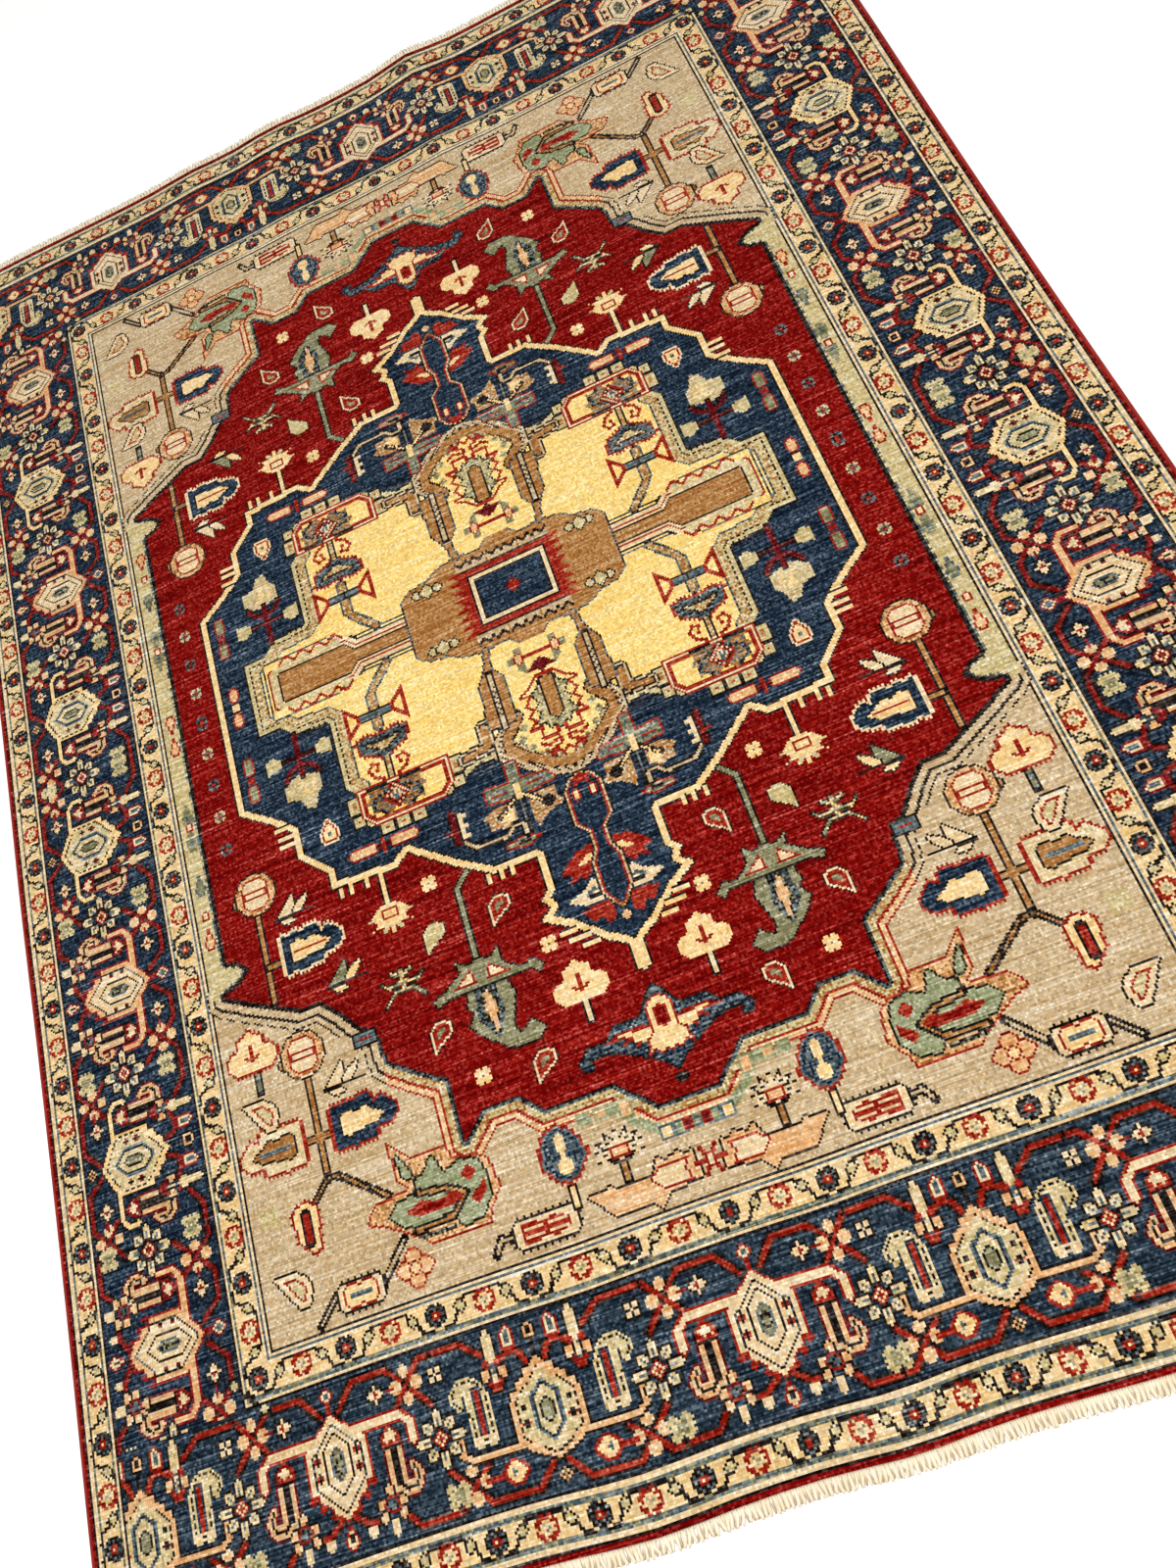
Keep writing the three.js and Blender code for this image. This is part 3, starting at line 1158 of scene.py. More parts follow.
def sunburst(x, y):
    """A pale half flower with rays, hanging on a stem."""
    stem([(x, y + 6), (x, y + 18)], "cream")
    at = put(x, y)
    rays = np.pi + np.pi * np.arange(7) / 6
    for k, (u, v) in enumerate(zip(np.cos(rays), np.sin(rays))):
        ray = [(2.6 * v, -2.6 * u), (11.5 * u, 0.5 + 10.5 * v), (-2.6 * v, 2.6 * u)]
        fill(ray, "cream" if k % 2 else "khaki", at)
    fill(both([(-6, -4), (-9, 1), (-6, 5), (0, 7)]), "cream", at)
    outlined(box(-4, -1, 4, 4), ("vine", 1), ("cream", 5), at=at)


sprig(-101, -168)
sunburst(-99, -136)
stem([(-162, -108), (-162, -154)])
stem([(-162, -137), (-153, -137)])
roundel(-161, -100)
bird_leaf(-144, -113)
bird_leaf(-126, -153, "sage", "cream")
banner_leaf(-138, -134.5, False, "ivory", "navy", "cream", "ink/navy", "vine")
print("flowers strewn")


# %% The palmette between medallion and end
def bracket_palmette():
    """The wide slate palmette between the medallion and the end of the field."""
    at = put(0, -226)
    outer = both([
        (0, 18), (-3, 16), (-6, 11), (-10, 7), (-20, 7), (-26, 2), (-33, 2), (-38, -2), (-37, -6),
        (-33, -6), (-34, -2), (-29, -2), (-22, -3), (-14, -7), (-6, -12), (-3, -15), (0, -18),
    ])
    outlined(outer, ("navy~slate", 40), at=at, edge="ink")
    for side in either_side(0, -226):
        wing = [(4, 3), (12, 4), (20, 4), (27, 1), (17, 1), (20, -2), (13, -1), (14, -4), (5, -2)]
        fill(wing, "vine", side)
        fill([(5, 2), (11, 2), (16, 3), (22, 3), (13, 0), (15, -1), (10, -3), (6, -1)], "cream", side)
    figure_of_petals = both([
        (0, 14), (-4, 13), (-6, 9), (-6, -1), (-9, -3), (-10, -11), (-7, -7), (-4, -11), (-2, -8),
        (0, -11),
    ])
    outlined(figure_of_petals, ("vine", 1), ("cream", 20), at=at)
    fill(both([(0, 10), (-3, 9), (-3, 1), (0, 0)]), "vine", at)
    fill(both([(0, 8.5), (-2, 8), (-2, 2), (0, 1)]), "red", at)
    fill(oval(0, -21, 2.8, 2.6), "ink", at)


bracket_palmette()
print("red ground and corners charted")

# %% [markdown]
# ## The medallion
#
# A navy shield with stepped edges, a yellow ground inside it, a camel cross over that and a small navy box
# in the very middle. Each is laid on the last, so they are painted from the outside inwards, and the
# painting order does what layers do in a drawing program. nest() gives every edge its lines of one to
# four knots, because a weaver counts an outline in knots too.

# %% The medallion's edge and ground
MEDALLION = [
    (-161, 0), (-161, -58), (-147, -68), (-136, -77), (-136, -92), (-123, -104), (-123, -113),
    (-91, -115), (-84, -110), (-64, -126), (-49, -136), (-29, -136), (-29, -152), (-33, -156),
    (-30, -161), (-36, -165), (-24, -172), (-10, -184), (-3, -188), (-3, -200), (0, -201),
]
medallion = inside(whole(MEDALLION))
paint(grown(medallion, 1), "ink")
nest(medallion, ("cream", 3), ("ink", 1), ("navy", 300))


def tooth(x, y, length, turn=0):
    """A spike of the medallion's edge, cream with a dark side."""
    at = put(x, y, turn)
    line([(0, 1), (-length, 1)], "ink", 1.2, at)
    line([(0, 0), (-length, 0)], "cream", 1.2, at)


for x, y, length in (
    (-136, -74, 9), (-136, -79, 8), (-136, -83, 8), (-22, -174, 8), (-17, -178, 10), (-14, -182, 8),
):
    tooth(x, y, length)
for x in (-119, -114, -106, -99, -52, -46, -41):
    tooth(x, -114 if x < -90 else -135, 5, 1)
print("medallion:", medallion.sum(), "knots")

# %% The yellow ground inside the medallion, in its banded edge
FIGURE = [
    (-143, 0), (-143, -22), (-130, -22), (-124, -29), (-106, -30), (-106, -68), (-101, -72),
    (-106, -75), (-106, -86), (-97, -92), (-58, -92), (-49, -87), (-41, -83), (-29, -86), (-19, -94),
    (-8, -101), (0, -104),
]
figure = inside(whole(FIGURE))
figure_edge = [("ink", 1), ("khaki", 2), ("ink/khaki", 1), ("khaki~camel", 4), ("slate/ink", 1)]
nest(figure, *figure_edge, ("yellow", 99))
crenels = inside(box(-128, -32, -106, -28)) | inside(box(-46, -88, -30, -83))
paint(crenels & EVERY_THIRD, "ivory/ink")
print("yellow ground in its edge:", figure.sum(), "knots")


# %% The arms of the cross
def cross_arm():
    """A neck that widens to a camel box, in ivory, a red zigzag and yellow."""
    arm = [
        (-132, 0), (-132, -16), (-97, -16), (-86, -10), (-50, -10), (-50, 10), (-86, 10), (-97, 16),
        (-132, 16),
    ]
    outlined(arm, ("yellow", 40), edge="slate~ink")
    core = inside([(-125, -8), (-89, -8), (-83, -3), (-40, -3), (-40, 3), (-83, 3), (-89, 8), (-125, 8)])
    whole_arm, neck = inside(box(-140, -12, -50, 12)), inside(box(-90, -12, -50, 12))
    for width, dyes in ((6, "vine"), (5, "khaki~ivory")):
        paint(grown(core, width) & whole_arm, dyes)
    for width, dyes in ((6, "ink"), (5, "ivory"), (3, "vine"), (2, "ivory")):
        paint(grown(core, width) & neck, dyes)
    paint(grown(core, 1), "ink")
    paint(core, "camel")
    for x in range(-124, -96, 9):
        for way in (-1, 1):
            line([(x, way * 12), (x + 3, way * 16), (x + 6, way * 16), (x + 9, way * 12)], "vine", 1.3)
            fill([
                (x + 1, way * 12), (x + 4, way * 15), (x + 6, way * 15), (x + 8, way * 12),
            ], "khaki~ivory")


cross_arm()
print("arms charted")

# %% The camel body and the navy box in the middle
BODY = [
    (-55, 0), (-55, -17), (-49, -21), (-41, -22), (-34, -26), (-25, -28), (-10, -27), (-7, -31),
    (0, -33),
]
outlined(whole(BODY), ("camel", 60), edge="slate~ink")
for x, size in ((-47, 3.4), (-41.5, 4.6), (-36, 3.4)):
    outlined(diamond(x, -17, size, size), ("ink", 1), ("khaki", 9))

for y in range(-17, 0, 5):
    fill([(-24, y - 2), (-31, y - 2), (-24, y + 3)], "vine")
outlined(box(-24, -18, 24, 18), ("vine", 3), ("ink", 1), ("ivory", 2), ("ink", 1), ("navy", 40))
fill(box(-24, -19, 24, -18), "ink")
SPIKES = both([(-8, -25), (-5, -21), (-2, -25), (0, -21)])
for x in (-17, 0, 17):
    at = put(x)
    fill([(-8, -19), *SPIKES, (8, -19)], "beige", at)
    line(SPIKES, "ink", 1.2, at)
outlined(diamond(0, 0, 4.6, 5), ("maroon", 1), ("vine", 2), ("ink", 4))
print("camel body and navy box charted")


# %% A quarter of the yellow ground: stem, flower and flower box
def yellow_quarter():
    """A stem with two side leaves under a dark flower, and a pair of red tendrils."""
    layered([(-70, -11), (-80, -22), (-82, -25), (-82, -43)], ("slate~ink", 5.2), ("camel~khaki", 3))
    for at in either_side(-82):
        line([(1, -35.5), (9, -35.5)], "ink", 4.2, at)
        line([(1, -35.5), (10, -35.5)], "slate", 2.4, at)
        outlined([(16, -26), (16, -45), (8, -38), (8, -33)], ("vine", 2), ("yellow", 9), at=at)
    petals = inside(both([(0, -61), (-7, -57), (-12, -55), (-14, -47), (-9, -45), (0, -46)]), put(-82))
    toothed(petals, "vine", 2)
    nest(petals, ("vine", 1), ("slate~ink", 3), ("ink", 1), ("khaki~camel", 9))
    line([(-82, -61), (-82, -71)], "ink", 4.8)
    line([(-82, -60), (-82, -71)], "camel~khaki", 2.8)
    for at in either_side(-82):
        line([(4, -70), (8, -68), (10, -64), (8, -61), (5, -62), (6, -65)], "vine", 1.5, at)


def flower_box():
    """A red-lined box with a lozenge between two ragged leaves, and small boxes along its rim."""
    for at in either_side(-77.5):
        outlined(box(21, -83, 30, -73), ("ink", 1), ("khaki", 2), ("camel", 9), at=at)
        outlined(box(21, -90, 29, -83), ("ink", 1), ("khaki", 2), ("vine", 9), at=at)
    for x in (-90, -82, -74):
        outlined(box(x - 4, -98, x + 4, -91), ("ink", 1), ("khaki", 2), ("vine", 9))
    case = both([(-23.5, -71), (-23.5, -86), (-17.5, -92)])
    outlined(case, ("vine", 1), ("ivory", 1), ("vine", 2), ("yellow", 40), at=put(-77.5))
    for at in either_side(-82, -80):
        fill([
            (3, 6), (14, 7), (13, 3), (16, 0), (12, -2), (13, -7), (8, -5), (5, -10), (1, -5),
        ], "camel~slate", at)
        line([(3, 7), (14, 7)], "ink", 1.2, at)
        line([(5, 3), (11, 1), (12, -4), (7, -7)], "ink/slate", 1.6, at)
    rings = ("ink/vine", "vine/ivory", "ink/ivory", "vine")
    outlined(diamond(0, 0, 8, 8), *((dyes, 1) for dyes in rings), ("slate~ivory", 9), at=put(-82, -80))


yellow_quarter()
flower_box()
print("yellow ground charted")


# %% The columns and the dome over the middle palmette
def column_and_dome():
    """A camel column with a hooked head, and the dome that two of them carry."""
    layered([(-35, -66), (-35, -76), (-47, -78)], ("ink", 8), ("beige", 6.4), ("ink", 4.6), ("camel", 3))
    dome = both([(-20, -68), (-28, -77), (-28, -84), (-19, -92), (-8, -99), (0, -102)])
    layered(dome, ("ink", 9.4), ("beige", 7.8), ("beige/ink", 5.4))
    inner = both([(-18, -68), (-26, -77), (-26, -83), (-18, -90), (-8, -97), (0, -99)])
    layered(inner, ("ink/camel", 5.6), ("camel", 4.2))
    line([(-31, -86), (-25, -93)], "ivory", 1.4)
    shaft = [
        (-24, -27), (-26, -37), (-31, -46), (-32, -69), (-18.5, -69), (-18.5, -46), (-23.5, -38),
        (-21.5, -27),
    ]
    outlined(shaft, ("camel", 30), edge="slate~ink")
    line([(-25, -41), (-25, -70)], "ink", 4.6)
    line([(-25, -42), (-25, -70)], "beige", 2.6)
    line([(-25, -48), (-25, -64)], "beige/ink", 1)
    fill(both([(0, -80), (-14, -70), (-15, -32), (0, -32)]), "yellow")
    fill(both([(0, -96), (-8, -93), (-18, -85), (-20, -79), (-14, -70), (0, -70)]), "yellow")
    for way in (-1, 1):
        for x, y in ((17, 75), (19, 80), (16, 86), (10, 91), (4, 94)):
            fill(diamond(way * x, -y, 2, 2.2), "sage~khaki")


def middle_palmette():
    """The upright leaf under the dome, with crooked red twigs round it."""
    line([(-9, -40), (9, -40)], "vine", 1.6)
    for way in (-1, 1):
        for du, dv in ((3, 0), (-1, 4), (-1, -4)):
            fill(oval(way * (10 + du), -40 + dv, 2.2, 2.2), "sage")
        outlined(diamond(way * 9.5, -40, 3.4, 4), ("vine", 1), ("peach", 4))
        fill([(way * 4, -47), (way * 10, -46), (way * 8, -49)], "sage")
    fill([(-7, -49), (-4, -45), (0, -43), (4, -45), (7, -49), (2, -49), (0, -52), (-2, -49)], "maroon")
    leaf = both([
        (0, -82), (-3, -79), (-5, -80), (-6, -76), (-10, -76), (-7, -71), (-9, -68), (-6, -66),
        (-9, -60), (-5, -59), (-4, -54), (0, -54),
    ])
    outlined(leaf, ("khaki~sage", 30), edge="ink")
    outlined(both([(0, -77), (-3.5, -73), (-3.5, -55), (0, -53)]), ("camel", 9), edge="ink")
    twigs = [
        [
            (0, -52), (-5, -52), (-8, -56), (-15, -60), (-10, -61), (-13, -66), (-10, -68), (-13, -72),
            (-10, -74), (-15, -78), (-8, -78),
        ],
        [(-9, -79), (-10, -84), (-2, -84), (-2, -80)],
        [(-12, -86), (-8, -88), (-2, -86), (-2, -89), (-8, -91)],
        [(-10, -90), (-7, -94), (-5, -90), (-3, -95), (0, -91)],
    ]
    for twig in twigs:
        for at in either_side():
            line(twig, "vine", 1.4, at)


column_and_dome()
middle_palmette()
print("columns, dome and middle palmette charted")


# %% What grows on the navy ground
def side_tree():
    """The red tree beside an arm: a trunk, a bar with two khaki leaves, a fork and a pale leaf."""
    at = put(-124.5)
    pale = [
        (0, -50), (-8, -51), (-11, -56), (-10, -62), (-4, -63), (-1, -69), (3, -70), (6, -63), (9, -60),
        (8, -53),
    ]
    fill(pale, "khaki~beige", at)
    fill([(-3, -54), (5, -54), (6, -60), (1, -64), (-4, -59)], "cream~khaki", at)
    for side in either_side(-124.5):
        line([(0, -45), (-6, -48), (-9, -52)], "ink", 3.4, side)
        line([(0, -44), (-6, -47), (-9, -51)], "maroon", 2.2, side)
        fill([(-9, -39), (-13, -36), (-18, -37), (-18, -45), (-14, -44), (-9, -43)], "khaki", side)
        line([(0, -40.5), (-8, -40.5)], "ink", 3.6, side)
        line([(0, -40.5), (-9, -40.5)], "maroon", 1.6, side)
    layered([(0, -28), (0, -51)], ("ink", 3.8), ("maroon", 2.2), at=at)


def capsule(x, y, turn, length, core):
    """A small box with its corners cut, in a red line."""
    shape = both([(2 - length, -2.6), (-length, -1), (-length, 1), (2 - length, 2.6)])
    outlined(shape, ("vine", 1), (core, 9), at=put(x, y, turn))


def foot_of_cross():
    """The sage cross with its stem, leaves and dark seed, under a column."""
    at = put(-28.5)
    cross = [
        (-2.5, -88), (2.5, -88), (2.5, -98), (15, -99), (18, -104), (4, -105), (-4, -105), (-14, -104),
        (-15, -97), (-2.5, -98),
    ]
    outlined(cross, ("sage~slate", 20), at=at, edge="vine")
    for side in either_side(-28.5):
        line([(5, -101.5), (12, -101.5)], "vine", 1.3, side)
    leaf = [(-3, -107), (-12, -107), (-19, -110), (-16, -113), (-17, -117), (-7, -118), (-3, -115)]
    fill(leaf, "camel~beige", at)
    fill([
        (3, -107), (17, -107), (16, -112), (20, -116), (11, -118), (5, -123), (3, -118),
    ], "camel~beige", at)
    fill([(-4, -109), (-11, -110), (-12, -115), (-5, -116)], "cream", at)
    layered([(0, -108), (0, -127)], ("ink", 3.4), ("slate", 1.8), at=at)
    for side in either_side(-28.5):
        line([(0, -104), (5, -108), (11, -112)], "ink", 3, side)
        line([(0, -104), (5, -108), (10, -112)], "cream/ink", 1.4, side)
    fill(oval(12, -113, 3.4, 3), "ink", at)
    fill(box(-1.6, -107, 1.6, -99), "cream", at)
    seed = [(6, -127), (-2, -124), (-11, -125), (-13, -127), (-11, -129), (-2, -130)]
    outlined(seed, ("vine", 1), ("sage", 1), ("ink", 4), at=at)
    branch = [(-58, -116), (-54, -121), (-39, -122), (-34, -118), (-30, -119), (-30, -124)]
    layered(branch, ("ink", 3.6), ("beige", 1.2))


def comb_beside():
    """A dark post and a pale comb of three teeth."""
    layered([(-60.5, -101), (-60.5, -116)], ("ink", 4), ("maroon", 2.6))
    line([(-65, -110), (-60, -111)], "vine", 1.4)
    line([(-57, -103), (-57, -114)], "ivory", 1.5)
    for y in (-104, -109, -114):
        line([(-57, y), (-54, y)], "ivory", 1.3)


def pendant_palmette():
    """The long twin-walled tube and its petals in the medallion's pendant."""
    for at in either_side():
        upper = [
            (4, -140), (12, -141), (19, -146), (22, -149), (17, -151), (19, -155), (14, -153),
            (11, -155), (6, -150),
        ]
        fill(upper, "vine", at)
        fill([(2, -143), (8, -144), (14, -148), (4, -147)], "cream", at)
        fill([(4, -160), (10, -155), (14, -159), (23, -162), (15, -166), (6, -166)], "ivory", at)
        line([(7, -161), (10, -160), (14, -162)], "slate", 1.4, at)
        line([(7, -163), (13, -163)], "ink", 1.2, at)
        fill([
            (3, -166), (10, -167), (18, -168), (14, -174), (10, -173), (8, -177), (4, -175),
        ], "vine", at)
    tube = both([
        (0, -106), (-5, -107), (-9, -113), (-9, -130), (-4, -135), (-4, -143), (-7, -149), (-7, -163),
        (-3, -170), (0, -173),
    ])
    outlined(tube, ("beige/camel", 1), ("vine", 1), ("navy", 30), edge="ink")
    fill(both([(0, -106), (-3, -107), (-4, -112), (0, -111)]), "vine")
    for x in (-4, 4):
        outlined(diamond(x, -116, 2.8, 4), ("vine", 1), ("cream", 4))
    fill(diamond(0, -176, 2, 3), "peach")


side_tree()
for y, length, core in ((-35, 5.5, "sage"), (-50, 5.5, "sage"), (-7.5, 4.8, "peach")):
    capsule(-151, y, 1, length, core)
fill(box(-153, -44.5, -149, -40.5), "vine")
fill(box(-153, -2, -149, 2), "cream")
for x in (-104, -84):
    capsule(x, -102, 0, 8, "peach~ivory")
line([(-97, -102), (-91, -102)], "maroon", 1.6)
line([(-94, -98), (-94, -106)], "vine", 1.4)
drop(-118, -84, 5.5, 7, ("ivory", 1), ("vine", 1), ("cream", 2), ("slate", 5))
foot_of_cross()
comb_beside()
pendant_palmette()
print("medallion charted")


# %% [markdown]
# ## Three more quarters
#
# A weaver reads the squared paper from left to right and back again, and then from its top to its bottom,
# so one drawn quarter makes the whole rug. Two mirrored copies of the table do that here. Whatever was
# painted past the middle lines goes in this step. Only the dye lots don't mirror: the navy yarn of the
# near end border came from a paler lot than the rest, so it gets a blue of its own.

# %% Mirroring the quarter
quarter = chart[:MIDDLE_ROW, : KNOTS_ACROSS // 2]
near_half = np.concatenate([quarter, quarter[:, ::-1]], axis=1)
chart = np.concatenate([near_half, near_half[::-1]], axis=0)
print("knots of each dye:", {name: int((chart == n).sum()) for name, n in DYE_NUMBER.items()})
near_end = (KNOT_Y < -BORDER_IN[1])[:, None]
paint((chart == DYE_NUMBER["navy"]) & near_end, "blue")
print("knots of the paler lot:", (chart == DYE_NUMBER["blue"]).sum())

# %% [markdown]
# ## The pile
#
# On the real rug each knot is a tuft of wool about 3 mm wide. As 450,000 separate tufts it would be too
# heavy, and as one flat sheet it would have nothing to carry the dyes. In between, each row of the chart
# is cut wherever the dye changes, and each run of one dye becomes one long face. No bmesh operator cuts by
# a table, so these faces are listed. Neighbouring rows share their corners, so the pile is one skin.
# Corrosive dark dyes wear faster, so dark outlines lie a little lower, as on old rugs. The pile is made in
# bands of rows, in the order of weaving.

# %% Where a knot's corner lies
# Past this row the far border begins, and its rows are beaten down to this share of a knot.
END_LINE, FAR_BEAT = 292.5, 0.92
# The middle of the drawing stands a few knots to the right, over so many knots to each side.
SKEW_KNOTS, SKEW_SPREAD = 4.0, 75
# How far from the middle lines the pattern starts to follow the bowed edges, in metres.
SIDES_BOW_FROM, ENDS_BOW_FROM = 0.45, 0.75


def faded(distance, start, stop):
    """0 up to start, 1 from stop on, smooth between."""
    share = np.clip((distance - start) / (stop - start), 0, 1)
    return share * share * (3 - 2 * share)


def laid(columns, rows):
    """Metres for a place on the chart, with the weaver's unevenness."""
    x = (np.asarray(columns, float) - KNOTS_ACROSS / 2) * KNOT
    knots_up = np.asarray(rows, float) - MIDDLE_ROW
    knots_up = np.where(knots_up > END_LINE, END_LINE + (knots_up - END_LINE) * FAR_BEAT, knots_up)
    y = PATTERN_Y - SLAB_Y + knots_up * KNOT
    side = np.where(x > 0, bow("right", y), -bow("left", y)) * faded(np.abs(x), SIDES_BOW_FROM, HALF_WIDTH)
    end = np.where(y > 0, bow("far", x), -bow("near", x)) * faded(np.abs(y), ENDS_BOW_FROM, HALF_LENGTH)
    skew = SKEW_KNOTS * KNOT * np.exp(-((x / (SKEW_SPREAD * KNOT)) ** 2))
    return SLAB_X + x + side + skew, SLAB_Y + y + end


def swell(x, y):
    """The rug's gentle ups and downs, from 0 to 1, as waves 0.7 to 0.9 m long that bend one another."""
    waves = np.sin(x * 9.0 + 1.3 * np.sin(y * 4.1)) + np.sin(y * 7.3 + 1.7 * np.sin(x * 3.7) + 1.0)
    return 0.5 + 0.25 * waves


print("near left corner at", [round(float(v), 4) for v in laid(0, 0)])

# %% Knots into faces
from bisect import bisect_left, bisect_right

LONGEST_RUN = 15
# How much the pile's top swells, how far dark wool is worn down, and how high the rim's foot stands.
SWELL, CARVED, FOOT = 0.8 * MM, 1.0 * MM, 1.2 * MM
carved = np.pad((chart == DYE_NUMBER["ink"]).astype(float), 1, mode="edge")


def cuts(row):
    """The columns where a row is cut into runs."""
    if not 0 <= row < KNOTS_ALONG:
        return set()
    changes = np.flatnonzero(np.diff(chart[row])) + 1
    return set(changes.tolist()) | set(range(0, KNOTS_ACROSS, LONGEST_RUN)) | {KNOTS_ACROSS}


def run_faces(first, last):
    """Corners as (column, row), and faces with their dyes, for the rows from first up to last."""
    places, lines = [], {}
    for row in range(first, last + 1):
        columns = sorted(cuts(row - 1 if row > first else row) | cuts(row if row < last else row - 1))
        lines[row] = (columns, len(places))
        places += [(column, row) for column in columns]
    faces, dyes = [], []
    for row in range(first, last):
        own = sorted(cuts(row))
        for left_cut, right_cut in zip(own, own[1:]):
            ring = []
            for line_up in (row, row + 1):
                columns, start = lines[line_up]
                low, high = bisect_left(columns, left_cut), bisect_right(columns, right_cut)
                side = range(start + low, start + high)
                ring += side if line_up == row else reversed(side)
            faces.append(ring)
            dyes.append(int(chart[row, left_cut]))
    return places, lines, faces, dyes


def skirt(lines, first, last):
    """The rims of the pile in this band, as lists of corner numbers in order."""
    rims = []
    for column in (0, KNOTS_ACROSS):
        rim = [lines[row][1] + lines[row][0].index(column) for row in range(first, last + 1)]
        rims.append(rim if column == 0 else rim[::-1])
    if first == 0:
        rims.append(list(range(lines[0][1], lines[0][1] + len(lines[0][0])))[::-1])
    if last == KNOTS_ALONG:
        rims.append(list(range(lines[last][1], lines[last][1] + len(lines[last][0]))))
    return rims


print("runs in the first row:", len(cuts(0)) - 1, "and in the middle row:", len(cuts(MIDDLE_ROW)) - 1)

# %% Bands of pile
ROWS_IN_A_BAND = 98
HALF_KNOTS = KNOTS_ACROSS // 2
# The flat layout keeps this margin, spares these knots round each half, and starts the rim this deep.
MARGIN_U, MARGIN_V, SPARE, RIM_DEPTH = 0.01, 0.005, 3, 2.5 * MM
dye_colours = np.array([(*linear(code), 1.0) for code in DYES.values()])


def pile_band(name, first, last):
    """Rows first to last as one mesh, with each face's dye, each corner's knot and a layout for bakes."""
    places, lines, faces, dyes = run_faces(first, last)
    columns, rows = np.array(places).T
    x, y = laid(columns, rows)
    dip = (carved[rows, columns] + carved[rows + 1, columns] + carved[rows, columns + 1]
           + carved[rows + 1, columns + 1]) / 4
    z = PILE_TOP - SWELL * (1 - swell(x, y)) - CARVED * dip
    spots = np.stack([x, y, z], axis=1)
    # The pile's rim turns down to the foundation.
    feet = []
    for rim in skirt(lines, first, last):
        base = len(spots) + len(feet)
        feet += [(*spots[corner][:2], FOOT) for corner in rim]
        for i in range(len(rim) - 1):
            faces.append([rim[i + 1], rim[i], base + i, base + i + 1])
            column, row = np.minimum(places[rim[i]], places[rim[i + 1]])
            dyes.append(int(chart[min(row, KNOTS_ALONG - 1), min(column, KNOTS_ACROSS - 1)]))
        places += [places[corner] for corner in rim]
    spots = np.concatenate([spots, np.array(feet).reshape(-1, 3)])

    mesh = bpy.data.meshes.new(name)
    mesh.from_pydata(spots.tolist(), [], faces)
    mesh.attributes.new("dye", "FLOAT_COLOR", "FACE").data.foreach_set("color", dye_colours[dyes].ravel())
    knots = np.array([(column, row, 0) for column, row in places], float)
    mesh.attributes.new("knot", "FLOAT_VECTOR", "POINT").data.foreach_set("vector", knots.ravel())
    # A flat layout for bakes: the band's left half below its right half.
    corner_of = np.zeros(len(mesh.loops), int)
    mesh.loops.foreach_get("vertex_index", corner_of)
    loop_faces = np.repeat(np.arange(len(faces)), [len(face) for face in faces])
    middle = np.array([np.mean([places[c][0] for c in face]) for face in faces])
    right_half = (middle > HALF_KNOTS)[loop_faces]
    column, row = knots[corner_of, 0], knots[corner_of, 1] - first
    fallen = np.maximum(PILE_TOP - RIM_DEPTH - spots[corner_of, 2], 0) / KNOT
    outwards = np.where(column == KNOTS_ACROSS, 1, 0) - np.where(column == 0, 1, 0)
    in_half = column + outwards * fallen - HALF_KNOTS * right_half
    u = MARGIN_U + (1 - 2 * MARGIN_U) * (in_half + SPARE) / (HALF_KNOTS + 2 * SPARE)
    v = MARGIN_V + (0.5 - 2 * MARGIN_V) * (row + SPARE) / (last - first + 2 * SPARE) + 0.5 * right_half
    layout = mesh.uv_layers.new(name="OFBake")
    layout.uv.foreach_set("vector", np.stack([u, v], axis=1).ravel())
    return in_scene(name, mesh)


pile = [
    pile_band(f"pile_{number}", first, min(first + ROWS_IN_A_BAND, KNOTS_ALONG))
    for number, first in enumerate(range(0, KNOTS_ALONG, ROWS_IN_A_BAND), 1)
]


def triangles(piece):
    return sum(len(face.vertices) - 2 for face in piece.data.polygons)


print({band.name: triangles(band) for band in pile}, "in all", sum(triangles(band) for band in pile))

# %% [markdown]
# ## Wool for the pile
#
# The pile is hand-spun wool, dyed in the skein and cut short. It scatters light like velvet, so it has no
# gloss and a soft sheen at low angles. Each knot took the dye a little differently, and each new dye lot
# begins at some row, which gives the streaks across the rug that dealers call abrash. Both come from
# nodes: a random shade for each knot, and a noise stretched along the rows. The dye itself is read from the
# faces, and the nubs of the knots are bump at the true spacing of 3.1 mm.

# %% A small helper for nodes
def node(tree, kind, settings=None, **links):
    """Adds a node, sets its properties, and fills or links its inputs by name or number."""
    made = tree.nodes.new(kind)
    for key, value in (settings or {}).items():
        setattr(made, key, value)
    for key, value in links.items():
        socket = made.inputs[int(key[1:]) if key[0] == "_" else key.replace("_", " ")]
        if isinstance(value, bpy.types.NodeSocket):
            tree.links.new(value, socket)
        else:
            socket.default_value = value
    return made


def new_material(name, **constants):
    """A material with one Principled shader, whose constant inputs are set on its own sockets."""
    material = bpy.data.materials.new(name)
    material.use_nodes = True
    tree = material.node_tree
    tree.nodes.clear()
    shader = node(tree, "ShaderNodeBsdfPrincipled", **constants)
    output = node(tree, "ShaderNodeOutputMaterial")
    tree.links.new(shader.outputs[0], output.inputs[0])
    return material, tree, shader


MULTIPLY, MULTIPLY_ADD = {"operation": "MULTIPLY"}, {"operation": "MULTIPLY_ADD"}
print("node helpers are ready")

# %% Pile wool
# Streaks to the metre, along X, Y and Z: one lot of wool runs about 40 cm along the rows, and the yarn of
# one row differs again over a hand's length, about 17 cm.
LOTS_TO_THE_METRE, YARNS_TO_THE_METRE = (2.5, 130.0, 1.0), (6.0, 400.0, 1.0)
# The strength of the dye without the three unevennesses, and what each of them takes from it at most.
FULL_STRENGTH, BY_KNOT, BY_YARN, BY_LOT = 2.7, -0.6, -1.8, -0.9
